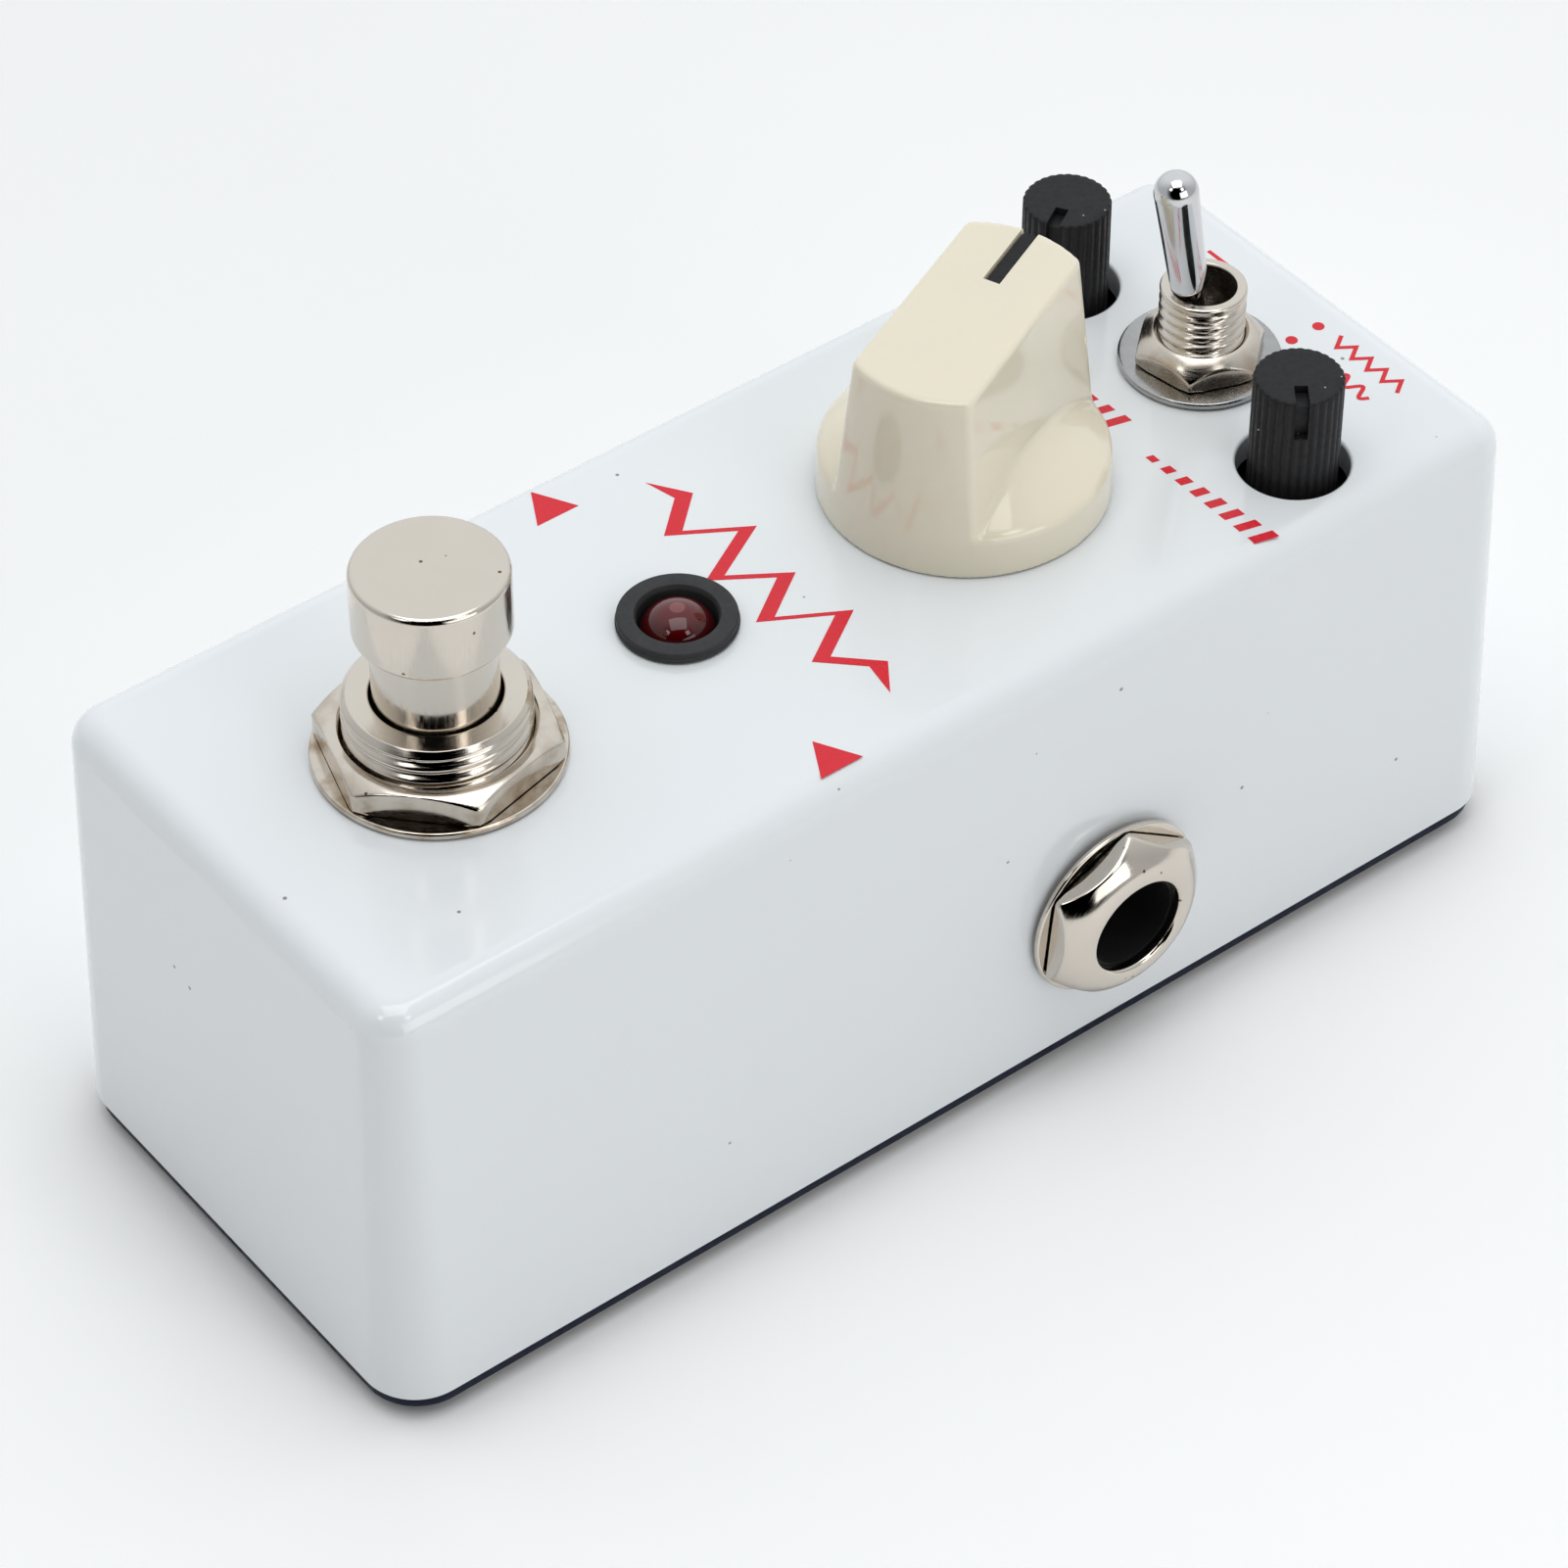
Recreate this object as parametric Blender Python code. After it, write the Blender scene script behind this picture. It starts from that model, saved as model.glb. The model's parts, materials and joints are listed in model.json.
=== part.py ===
"""Compact guitar effects pedal: a cast shell with a footswitch, a status lamp, one large pointer
knob, two small knurled knobs, a bat-lever toggle switch, two quarter-inch jacks and a DC socket.

Frame: +Z up, +X to the player's right, +Y away from the player, towards the DC socket.
The origin is the centre of the footprint, on the surface that the rubber pad rests on.
Controls on the panel are modelled in local frames whose z = 0 is the panel's top face.
Jacks are modelled in local frames whose +Z points out of the wall.
"""

import math

import bmesh
import bpy
from mathutils import Matrix

MM = 0.001

# ---------------------------------------------------------------- driving dimensions
BODY_LENGTH = 93.5 * MM
BODY_WIDTH = 38.0 * MM
SHELL_HEIGHT = 33.0 * MM
GAP = 0.1 * MM  # between pieces that rest on each other
PAD_THICKNESS = 0.8 * MM
PLATE_THICKNESS = 1.1 * MM
PLATE_BOTTOM = PAD_THICKNESS + GAP
PLATE_TOP = PLATE_BOTTOM + PLATE_THICKNESS
SHELL_RIM = PLATE_TOP + GAP
PANEL_TOP = SHELL_RIM + SHELL_HEIGHT

# shell
WALL = 1.8 * MM
PANEL_THICKNESS = 2.0 * MM
PANEL_UNDERSIDE = PANEL_TOP - PANEL_THICKNESS
CORNER_RADIUS = 3.9 * MM
TOP_EDGE_RADIUS = 2.2 * MM
DRAFT_INSET = 1.1 * MM  # how far each side leans in over the shell's height
CORNER_STEPS = 6
TOP_EDGE_STEPS = 4
BOSS_RADIUS = 2.9 * MM
BOSS_X = BODY_WIDTH / 2 - 4.3 * MM
BOSS_Y = BODY_LENGTH / 2 - 4.3 * MM
BOSS_HOLE_RADIUS = 1.35 * MM
BOSS_HOLE_DEPTH = 11.0 * MM

# base
PLATE_INSET = 0.25 * MM
PAD_INSET = 0.8 * MM
PAD_SCREW_HOLE_RADIUS = 3.5 * MM
SCREW_HEAD_RADIUS = 2.5 * MM
SCREW_SHANK_RADIUS = 1.25 * MM
SCREW_HEAD_HEIGHT = 1.0 * MM
SCREW_HEAD_BAND = 0.2 * MM
SCREW_LENGTH = 9.5 * MM
SCREW_CLEARANCE = 0.15 * MM
DRIVE_SLOT_LENGTH = 2.8 * MM
DRIVE_SLOT_WIDTH = 0.6 * MM
DRIVE_SLOT_DEPTH = 0.6 * MM

# footswitch
FOOTSWITCH_Y = -28.7 * MM
BUSHING_RADIUS = 6.0 * MM
BUSHING_BORE = 4.25 * MM
BUSHING_TOP = 5.25 * MM
BUSHING_FLANGE = 0.8 * MM
PANEL_FIT = 0.3 * MM  # radial play of a bushing in its panel hole
THREAD_DEPTH = 0.35 * MM
BUSHING_THREAD_TURNS = 3
BUTTON_RADIUS = 5.0 * MM
BUTTON_TOP = 15.25 * MM
BUTTON_EDGE = 0.4 * MM
BUTTON_UNDERSIDE = 10.2 * MM
BUTTON_NECK_RADIUS = 4.0 * MM
BUTTON_NECK_END = -3.6 * MM
FOOTSWITCH_NUT_FLATS = 14.0 * MM
FOOTSWITCH_NUT_HEIGHT = 2.0 * MM
FOOTSWITCH_NUT_TURN = math.radians(43)
FOOTSWITCH_WASHER_RADIUS = 8.1 * MM
WASHER_THICKNESS = 0.5 * MM
SWITCH_BODY_SIDE = 17.0 * MM
SWITCH_BODY_TOP = -5.3 * MM
SWITCH_BODY_BOTTOM = -14.8 * MM
SWITCH_BASE_THICKNESS = 1.2 * MM
SWITCH_CAVITY_RADIUS = 5.6 * MM
ACTUATOR_FLANGE_RADIUS = 4.6 * MM
ACTUATOR_RADIUS = 3.4 * MM
ACTUATOR_STEM_RADIUS = 1.6 * MM
ACTUATOR_FLANGE_DROP = 3.0 * MM
ACTUATOR_FLANGE_THICKNESS = 1.2 * MM
ACTUATOR_END = -11.9 * MM
SPRING_RADIUS = 3.3 * MM
SPRING_WIRE_RADIUS = 0.3 * MM
SPRING_TURNS = 4
SPRING_STEPS_PER_TURN = 14
SPRING_SEAT_PLAY = 0.4 * MM
LUG_PITCH = 5.0 * MM
LUG_WIDTH = 2.2 * MM
LUG_THICKNESS = 0.8 * MM
LUG_LENGTH = 6.0 * MM

# status lamp
LAMP_X = -0.4 * MM
LAMP_Y = -9.9 * MM
BEZEL_RADIUS = 4.0 * MM
BEZEL_BORE = 2.65 * MM
BEZEL_HEIGHT = 0.75 * MM
BEZEL_SHOULDER_HEIGHT = 0.6 * MM
BEZEL_SHOULDER_WIDTH = 0.2 * MM
BEZEL_LIP_WIDTH = 0.15 * MM
BEZEL_LIP_DROP = 0.25 * MM
BEZEL_SLEEVE_RADIUS = 3.1 * MM
BEZEL_SLEEVE_LENGTH = 3.6 * MM
LAMP_RADIUS = 2.5 * MM
LAMP_TOP = 1.4 * MM
LAMP_DOME_HEIGHT = 2.4 * MM
LAMP_DOME_STEPS = 6
LAMP_BASE = -7.0 * MM
LAMP_BASE_RADIUS = 2.9 * MM
LAMP_LEG_X = 1.27 * MM
LAMP_LEG_HALF_WIDTH = 0.25 * MM

# large knob and its potentiometer
KNOB_Y = 13.2 * MM
KNOB_TURN = math.radians(22)  # rest position of the pointer, anticlockwise from +Y
KNOB_BASE_RADIUS = 9.73 * MM
KNOB_CROWN_RADIUS = 8.55 * MM
KNOB_LIFT = 0.1 * MM
KNOB_RIM_HEIGHT = 3.0 * MM
KNOB_DOME_HEIGHT = 6.9 * MM
KNOB_DOME_STEPS = 7
KNOB_TOP_FRONT = 13.5 * MM
KNOB_TOP_POINTER = 15.0 * MM
KNOB_GRIP_TOP_WIDTH = 8.4 * MM
KNOB_GRIP_BASE_WIDTH = 10.4 * MM
KNOB_RECESS_RADIUS = 6.4 * MM
KNOB_RECESS_TOP = 3.5 * MM
KNOB_BORE = 3.1 * MM
KNOB_BORE_TOP = 11.4 * MM
POINTER_START = 3.15 * MM
POINTER_WIDTH = 1.0 * MM
POINTER_DEPTH = 0.9 * MM
POINTER_SINK = 0.25 * MM  # how far the strip lies below the top
POINTER_END_PLAY = 0.3 * MM
POT_BODY_SIDE = 9.8 * MM
POT_BUSHING_RADIUS = 3.5 * MM
POT_BUSHING_TOP = 3.1 * MM
POT_SHAFT_RADIUS = 2.95 * MM
POT_SHAFT_BORE = 3.1 * MM
POT_SHAFT_TOP = 11.1 * MM
POT_SHAFT_BOTTOM = -8.0 * MM
POT_NUT_FLATS = 10.0 * MM
POT_NUT_HEIGHT = 2.0 * MM

# small knobs and their potentiometers
SMALL_KNOB_X = 11.7 * MM
SMALL_KNOB_Y = 31.5 * MM
SMALL_KNOB_RADIUS = 3.0 * MM
SMALL_KNOB_TOP = 7.2 * MM
SMALL_KNOB_EDGE = 0.2 * MM
SMALL_KNOB_BOTTOM = -3.2 * MM
SMALL_KNOB_HOLE = 3.78 * MM
SMALL_SHAFT_RADIUS = 2.0 * MM
SMALL_SHAFT_BORE = 2.2 * MM
SMALL_SHAFT_BOTTOM = -7.6 * MM
SMALL_SLOT_WIDTH = 0.9 * MM
SMALL_SLOT_START = 1.0 * MM
SMALL_SLOT_DEPTH = 0.6 * MM
SMALL_SLOT_DROP = 2.8 * MM
LEFT_KNOB_TURN = math.radians(-147)
RIGHT_KNOB_TURN = math.radians(-125)
SMALL_POT_WIDTH = 8.6 * MM
SMALL_POT_LENGTH = 10.4 * MM
SMALL_POT_TOP = -3.8 * MM

# toggle switch
TOGGLE_Y = 33.5 * MM
TOGGLE_LEAN = math.radians(10.8)  # the lever rests leaning towards the player
TOGGLE_BUSHING_RADIUS = 2.92 * MM
TOGGLE_BUSHING_TOP = 6.4 * MM
TOGGLE_THREAD_TURNS = 4
TOGGLE_MOUTH_BORE = 2.2 * MM
TOGGLE_SOCKET_BORE = 1.75 * MM
TOGGLE_NUT_FLATS = 8.0 * MM
TOGGLE_NUT_HEIGHT = 2.0 * MM
TOGGLE_NUT_TURN = math.radians(10)
TOGGLE_WASHER_RADIUS = 5.5 * MM
LEVER_LENGTH = 17.2 * MM
LEVER_TIP_RADIUS = 1.5 * MM
LEVER_GRIP_RADIUS = 1.28 * MM
LEVER_NECK_RADIUS = 0.85 * MM
LEVER_BALL_RADIUS = 1.5 * MM
LEVER_TAIL_RADIUS = 0.7 * MM
LEVER_TAIL_LENGTH = 7.9 * MM
LEVER_BALL_STEPS = 6
LEVER_TIP_STEPS = 5
TOGGLE_BODY_WIDTH = 8.0 * MM
TOGGLE_BODY_LENGTH = 13.0 * MM
TOGGLE_FRAME_THICKNESS = 0.8 * MM
TOGGLE_BODY_TOP = -3.1 * MM
TOGGLE_BODY_BOTTOM = -10.7 * MM
TOGGLE_BODY_WALL = 1.0 * MM
ROCKER_HEIGHT = -8.5 * MM
ROCKER_LENGTH = 9.2 * MM
ROCKER_WIDTH = 3.0 * MM
ROCKER_THICKNESS = 0.4 * MM
TERMINAL_PITCH = 4.4 * MM
TERMINAL_END = -13.4 * MM
TERMINAL_WIDTH = 2.0 * MM
TERMINAL_THICKNESS = 0.7 * MM
MIDDLE_TERMINAL_DROP = 0.3 * MM
OUTER_TERMINAL_DROP = 1.2 * MM

# quarter-inch jacks
JACK_HEIGHT = 12.5 * MM
INPUT_JACK_Y = 10.9 * MM
OUTPUT_JACK_Y = -6.2 * MM
JACK_WALL_FACE = 18.9 * MM  # where the washers sit, clear of the leaning wall
JACK_BORE = 3.35 * MM
JACK_NOSE_RADIUS = 4.6 * MM
JACK_NOSE_END = 2.15 * MM
JACK_NUT_FLATS = 11.5 * MM
JACK_NUT_START = 0.6 * MM
JACK_NUT_END = 3.0 * MM
JACK_NUT_SHOULDER = 1.2 * MM  # where the turned front meets the nut's corners
JACK_NUT_SLOPE_RADIUS = 5.55 * MM
JACK_NUT_SLOPE_HEIGHT = 2.5 * MM
JACK_NUT_LAND_RADIUS = 4.5 * MM
JACK_NUT_BORE = 3.5 * MM
JACK_NUT_LIP_START = 2.3 * MM  # the nut's front closes over the nose from here
JACK_NUT_TURN = math.radians(-5)
JACK_WASHER_RADIUS = 6.65 * MM
JACK_BODY_START = -2.5 * MM
JACK_BODY_LENGTH = 27.0 * MM
JACK_BODY_WIDTH = 16.0 * MM
JACK_BODY_HEIGHT = 13.8 * MM
TIP_SPRING_WIDTH = 2.4 * MM
TIP_SPRING_THICKNESS = 0.4 * MM
TIP_SPRING_INSET = 0.6 * MM
TIP_SPRING_REACH = 0.4 * MM  # how far its elbow stands into the bore
TIP_SLOT_WIDTH = 3.4 * MM
TIP_SLOT_LENGTH = 10.0 * MM

# DC socket
DC_HEIGHT = 14.1 * MM
DC_NOSE_RADIUS = 4.0 * MM
DC_BORE = 3.0 * MM
DC_BORE_DEPTH = 10.5 * MM
DC_PIN_RADIUS = 1.05 * MM
DC_PIN_LENGTH = 11.9 * MM
DC_PIN_PLAY = 0.2 * MM
DC_BODY_WIDTH = 9.4 * MM
DC_BODY_HEIGHT = 10.8 * MM
DC_BODY_START = -2.6 * MM
DC_NOSE_END = -0.6 * MM
DC_BODY_END = -15.6 * MM

# circuit boards
BOARD_THICKNESS = 1.6 * MM
CONTROL_BOARD_BOTTOM = 24.2 * MM
CONTROL_BOARD_TOP = CONTROL_BOARD_BOTTOM + BOARD_THICKNESS
CONTROL_BOARD_FRONT = -17.5 * MM
CONTROL_BOARD_REAR = 38.5 * MM
CONTROL_BOARD_HALF_WIDTH = 16.2 * MM
CONTROL_BOARD_NOTCH = 4.8 * MM
CONTROL_BOARD_NOTCH_START = 26.0 * MM
MAIN_BOARD_BOTTOM = 19.75 * MM
MAIN_BOARD_TOP = MAIN_BOARD_BOTTOM + BOARD_THICKNESS
MAIN_BOARD_FRONT = -18.5 * MM
MAIN_BOARD_REAR = 39.0 * MM
HEADER_LENGTH = 20.0 * MM
HEADER_WIDTH = 2.5 * MM

ROUND_STEPS = 32
KNOB_STEPS = 48
SMALL_ROUND_STEPS = 20
SHARP_ANGLE = math.radians(35)
MERGE_DISTANCE = 1e-7
OVERSHOOT = 1.0 * MM  # how far a cutter runs past the surface that it opens
WALL_CUT = 3.0 * MM  # how far a cutter for a wall hole runs to each side
ARC_MIDDLE = 1 - math.cos(math.pi / 4)  # how far in the middle of a quarter arc lies, per radius
NUT_CROWN = 0.35  # the turned crown's share of a nut's height

# colour, roughness, metallic
FINISHES = {
    "white_enamel": ((0.80, 0.83, 0.84), 0.18, 0.0),
    "black_steel": ((0.03, 0.035, 0.045), 0.45, 0.6),
    "black_rubber": ((0.05, 0.045, 0.04), 0.85, 0.0),
    "nickel": ((0.66, 0.62, 0.56), 0.22, 1.0),
    "chrome": ((0.78, 0.78, 0.79), 0.08, 1.0),
    "black_plastic": ((0.02, 0.02, 0.022), 0.45, 0.0),
    "cream_plastic": ((0.80, 0.74, 0.58), 0.2, 0.0),
    "red_lens": ((0.30, 0.01, 0.02), 0.1, 0.0),
    "blue_plastic": ((0.03, 0.10, 0.35), 0.4, 0.0),
    "brown_laminate": ((0.25, 0.12, 0.05), 0.6, 0.0),
    "green_board": ((0.02, 0.18, 0.07), 0.4, 0.0),
    "white_nylon": ((0.75, 0.75, 0.72), 0.5, 0.0),
    "spring_steel": ((0.55, 0.55, 0.56), 0.3, 1.0),
    "tinned_brass": ((0.70, 0.66, 0.52), 0.3, 1.0),
}


# ---------------------------------------------------------------- scene and object helpers
def clear_scene():
    for obj in list(bpy.data.objects):
        bpy.data.objects.remove(obj)


def paint(obj, finish):
    colour, roughness, metallic = FINISHES[finish]
    material = bpy.data.materials.new(obj.name)
    material.use_nodes = True
    shader = material.node_tree.nodes["Principled BSDF"]
    shader.inputs["Base Color"].default_value = (*colour, 1.0)
    shader.inputs["Roughness"].default_value = roughness
    shader.inputs["Metallic"].default_value = metallic
    obj.data.materials.clear()
    obj.data.materials.append(material)


def make_object(name, bm):
    """An object in the scene that holds the bmesh's shape."""
    bmesh.ops.recalc_face_normals(bm, faces=bm.faces)
    mesh = bpy.data.meshes.new(name)
    bm.to_mesh(mesh)
    bm.free()
    obj = bpy.data.objects.new(name, mesh)
    bpy.context.scene.collection.objects.link(obj)
    return obj


def complete(obj, finish, parent=None):
    """Shades, paints and places a finished piece."""
    obj.data.shade_smooth()
    obj.data.set_sharp_from_angle(angle=SHARP_ANGLE)
    paint(obj, finish)
    obj.parent = parent
    return obj


def make_frame(name, location, rotation=(0.0, 0.0, 0.0)):
    """An empty that carries a group of pieces on one axis."""
    empty = bpy.data.objects.new(name, None)
    empty.location = location
    empty.rotation_euler = rotation
    bpy.context.scene.collection.objects.link(empty)
    return empty


def combine(obj, tool, operation):
    """Applies one Boolean to obj and removes the tool."""
    modifier = obj.modifiers.new("combine", "BOOLEAN")
    modifier.operation = operation
    modifier.solver = "EXACT"
    modifier.object = tool
    graph = bpy.context.evaluated_depsgraph_get()
    result = bpy.data.meshes.new_from_object(obj.evaluated_get(graph))
    obj.modifiers.clear()
    obj.data = result
    bpy.data.objects.remove(tool)


def cut(obj, tool):
    combine(obj, tool, "DIFFERENCE")


def fuse(obj, tool):
    combine(obj, tool, "UNION")


def trim_to(obj, tool):
    combine(obj, tool, "INTERSECT")


# ---------------------------------------------------------------- shape helpers
def turned(name, profile, steps=ROUND_STEPS, hollow=False):
    """A solid of revolution about Z. The profile is (radius, height) points; hollow closes the loop."""
    bm = bmesh.new()
    verts = [bm.verts.new((radius, 0.0, height)) for radius, height in profile]
    edges = [bm.edges.new(pair) for pair in zip(verts, verts[1:])]
    if hollow:
        edges.append(bm.edges.new((verts[-1], verts[0])))
    bmesh.ops.spin(bm, geom=verts + edges, cent=(0, 0, 0), axis=(0, 0, 1), angle=math.tau, steps=steps)
    bmesh.ops.remove_doubles(bm, verts=bm.verts, dist=MERGE_DISTANCE)
    return make_object(name, bm)


def cylinder(name, radius, bottom, top, steps=ROUND_STEPS):
    return turned(name, [(0.0, bottom), (radius, bottom), (radius, top), (0.0, top)], steps)


def ring(name, outer, inner, bottom, top, steps=ROUND_STEPS):
    return turned(name, [(inner, bottom), (outer, bottom), (outer, top), (inner, top)], steps, hollow=True)


def add_box(bm, low, high):
    size = [b - a for a, b in zip(low, high)]
    centre = [(a + b) / 2 for a, b in zip(low, high)]
    matrix = Matrix.Translation(centre) @ Matrix.Diagonal((*size, 1.0))
    bmesh.ops.create_cube(bm, size=1.0, matrix=matrix)


def boxes(name, corner_pairs):
    """One object holding a box for each (low corner, high corner) pair."""
    bm = bmesh.new()
    for low, high in corner_pairs:
        add_box(bm, low, high)
    return make_object(name, bm)


def box(name, low, high):
    return boxes(name, [(low, high)])


def upright_box(name, width, length, bottom, top, centre=(0.0, 0.0)):
    x, y = centre
    low = (x - width / 2, y - length / 2, bottom)
    high = (x + width / 2, y + length / 2, top)
    return box(name, low, high)


def rounded_rectangle(width, length, radius, height):
    """A closed loop of points at one height, anticlockwise, with arcs at its corners."""
    points = []
    for quarter, (sign_x, sign_y) in enumerate(((1, 1), (-1, 1), (-1, -1), (1, -1))):
        centre_x = sign_x * (width / 2 - radius)
        centre_y = sign_y * (length / 2 - radius)
        for step in range(CORNER_STEPS + 1):
            angle = math.pi / 2 * (quarter + step / CORNER_STEPS)
            points.append((centre_x + radius * math.cos(angle), centre_y + radius * math.sin(angle), height))
    return points


def lofted(name, loops):
    """A closed solid whose skin joins loops of equally many points, capped at both ends."""
    bm = bmesh.new()
    rings = [[bm.verts.new(point) for point in loop] for loop in loops]
    for lower, upper in zip(rings, rings[1:]):
        for i, corner in enumerate(lower):
            j = (i + 1) % len(lower)
            bm.faces.new((corner, lower[j], upper[j], upper[i]))
    bm.faces.new(rings[0][::-1])
    bm.faces.new(rings[-1])
    return make_object(name, bm)


def slab(name, width, length, radius, bottom, top):
    return lofted(name, [rounded_rectangle(width, length, radius, height) for height in (bottom, top)])


def prism(name, outline, bottom, top):
    """A straight-sided solid on an anticlockwise outline of (x, y) points."""
    return lofted(name, [[(x, y, height) for x, y in outline] for height in (bottom, top)])


def thread(radius, start, end, turns):
    """Outline points of a threaded stretch, from start up to end."""
    pitch = (end - start) / turns
    points = [(radius - THREAD_DEPTH, start)]
    for turn in range(turns):
        points.append((radius, start + (turn + 0.5) * pitch))
        points.append((radius - THREAD_DEPTH, start + (turn + 1) * pitch))
    return points


def hexagon(flats, turn=0.0):
    radius = flats / math.sqrt(3)
    angles = [turn + math.pi / 3 * side for side in range(6)]
    return [(radius * math.cos(angle), radius * math.sin(angle)) for angle in angles]


def hex_solid(name, flats, turn, bottom, outline):
    """A turned solid trimmed to a hexagon. The outline runs from the bore's foot up to the bore's top."""
    corner = flats / math.sqrt(3) + GAP
    bore = outline[0][0]
    outline = [(bore, bottom - GAP), (corner, bottom - GAP)] + outline[1:]
    top = max(height for _, height in outline)
    nut = prism(name, hexagon(flats, turn), bottom, top)
    trim_to(nut, turned("crown", outline, hollow=True))
    return nut


def hex_nut(name, flats, bore, bottom, top, turn=0.0):
    """A plain hexagonal nut whose upper corners are turned off."""
    corner = flats / math.sqrt(3) + GAP
    shoulder = top - NUT_CROWN * (top - bottom)
    outline = [(bore, bottom), (corner, shoulder), (flats / 2 - GAP, top), (bore, top)]
    return hex_solid(name, flats, turn, bottom, outline)


# ---------------------------------------------------------------- enclosure and base
def shell_loops(inset, top, edge_radius):
    """Loops of the shell's skin, offset inwards by inset, from the rim to the panel."""
    width = BODY_WIDTH - 2 * inset
    length = BODY_LENGTH - 2 * inset
    radius = CORNER_RADIUS - min(inset, CORNER_RADIUS / 2)
    loops = [rounded_rectangle(width, length, radius, SHELL_RIM)]
    straight = top - edge_radius - SHELL_RIM
    lean = DRAFT_INSET * straight / SHELL_HEIGHT
    for step in range(TOP_EDGE_STEPS + 1):
        angle = math.pi / 2 * step / TOP_EDGE_STEPS
        shrink = lean + edge_radius * (1 - math.cos(angle))
        height = top - edge_radius * (1 - math.sin(angle))
        corner = max(radius - shrink, radius / 4)
        loops.append(rounded_rectangle(width - 2 * shrink, length - 2 * shrink, corner, height))
    return loops


def boss_places():
    return [(sx * BOSS_X, sy * BOSS_Y) for sy in (-1, 1) for sx in (-1, 1)]


def place(tool, location, rotation=(0.0, 0.0, 0.0)):
    tool.location = location
    tool.rotation_euler = rotation
    return tool


def build_shell():
    shell = lofted("enclosure_shell", shell_loops(0.0, PANEL_TOP, TOP_EDGE_RADIUS))
    cavity = shell_loops(WALL, PANEL_UNDERSIDE, TOP_EDGE_RADIUS / 2)
    mouth = [(x, y, SHELL_RIM - OVERSHOOT) for x, y, _ in cavity[0]]
    cut(shell, lofted("cavity", [mouth] + cavity))
    for x, y in boss_places():
        post = cylinder("boss", BOSS_RADIUS, SHELL_RIM + OVERSHOOT, PANEL_UNDERSIDE + GAP, SMALL_ROUND_STEPS)
        fuse(shell, place(post, (x, y, 0.0)))
    for x, y in boss_places():
        hole = cylinder("hole", BOSS_HOLE_RADIUS, 0.0, SHELL_RIM + BOSS_HOLE_DEPTH, SMALL_ROUND_STEPS)
        cut(shell, place(hole, (x, y, 0.0)))
    panel_holes = (
        (0.0, FOOTSWITCH_Y, BUSHING_RADIUS + PANEL_FIT),
        (LAMP_X, LAMP_Y, BEZEL_SLEEVE_RADIUS + GAP),
        (0.0, KNOB_Y, POT_BUSHING_RADIUS + PANEL_FIT),
        (0.0, TOGGLE_Y, TOGGLE_BUSHING_RADIUS + PANEL_FIT),
        (-SMALL_KNOB_X, SMALL_KNOB_Y, SMALL_KNOB_HOLE),
        (SMALL_KNOB_X, SMALL_KNOB_Y, SMALL_KNOB_HOLE),
    )
    for x, y, radius in panel_holes:
        hole = cylinder("hole", radius, PANEL_UNDERSIDE - OVERSHOOT, PANEL_TOP + OVERSHOOT)
        cut(shell, place(hole, (x, y, 0.0)))
    for side, y in ((1, INPUT_JACK_Y), (-1, OUTPUT_JACK_Y)):
        hole = cylinder("hole", JACK_NOSE_RADIUS + PANEL_FIT, -WALL_CUT, WALL_CUT)
        cut(shell, place(hole, (side * JACK_WALL_FACE, y, JACK_HEIGHT), (0.0, side * math.pi / 2, 0.0)))
    hole = cylinder("hole", DC_NOSE_RADIUS + PANEL_FIT, -WALL_CUT, WALL_CUT)
    cut(shell, place(hole, (0.0, BODY_LENGTH / 2, DC_HEIGHT), (-math.pi / 2, 0.0, 0.0)))
    complete(shell, "white_enamel")


def build_base():
    width = BODY_WIDTH - 2 * PLATE_INSET
    length = BODY_LENGTH - 2 * PLATE_INSET
    plate = slab("bottom_plate", width, length, CORNER_RADIUS, PLATE_BOTTOM, PLATE_TOP)
    pad = slab("rubber_pad", width - 2 * PAD_INSET, length - 2 * PAD_INSET, CORNER_RADIUS, 0.0, PAD_THICKNESS)
    for x, y in boss_places():
        cut(pad, place(cylinder("hole", PAD_SCREW_HOLE_RADIUS, -OVERSHOOT, OVERSHOOT), (x, y, 0.0)))
        cut(plate, place(screw_outline("hole", SCREW_CLEARANCE), (x, y, PLATE_BOTTOM)))
    complete(plate, "black_steel")
    complete(pad, "black_rubber")
    for name, (x, y) in zip(("front_left", "front_right", "rear_left", "rear_right"), boss_places()):
        screw = screw_outline("base_screw_" + name, 0.0)
        depth = DRIVE_SLOT_DEPTH
        for turn in (0.0, math.pi / 2):
            slot = upright_box("slot", DRIVE_SLOT_LENGTH, DRIVE_SLOT_WIDTH, -depth, depth)
            cut(screw, place(slot, (0.0, 0.0, 0.0), (0.0, 0.0, turn)))
        screw.location = (x, y, PLATE_BOTTOM)
        complete(screw, "black_steel")


def screw_outline(name, clearance):
    """A countersunk screw pointing up from its head, or with a clearance the hole that it needs."""
    head = SCREW_HEAD_RADIUS + clearance
    shank = SCREW_SHANK_RADIUS + clearance
    profile = [
        (0.0, -clearance),
        (head, -clearance),
        (head, SCREW_HEAD_BAND),
        (shank, SCREW_HEAD_HEIGHT),
        (shank, SCREW_LENGTH),
        (0.0, SCREW_LENGTH),
    ]
    return turned(name, profile, SMALL_ROUND_STEPS)


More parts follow.
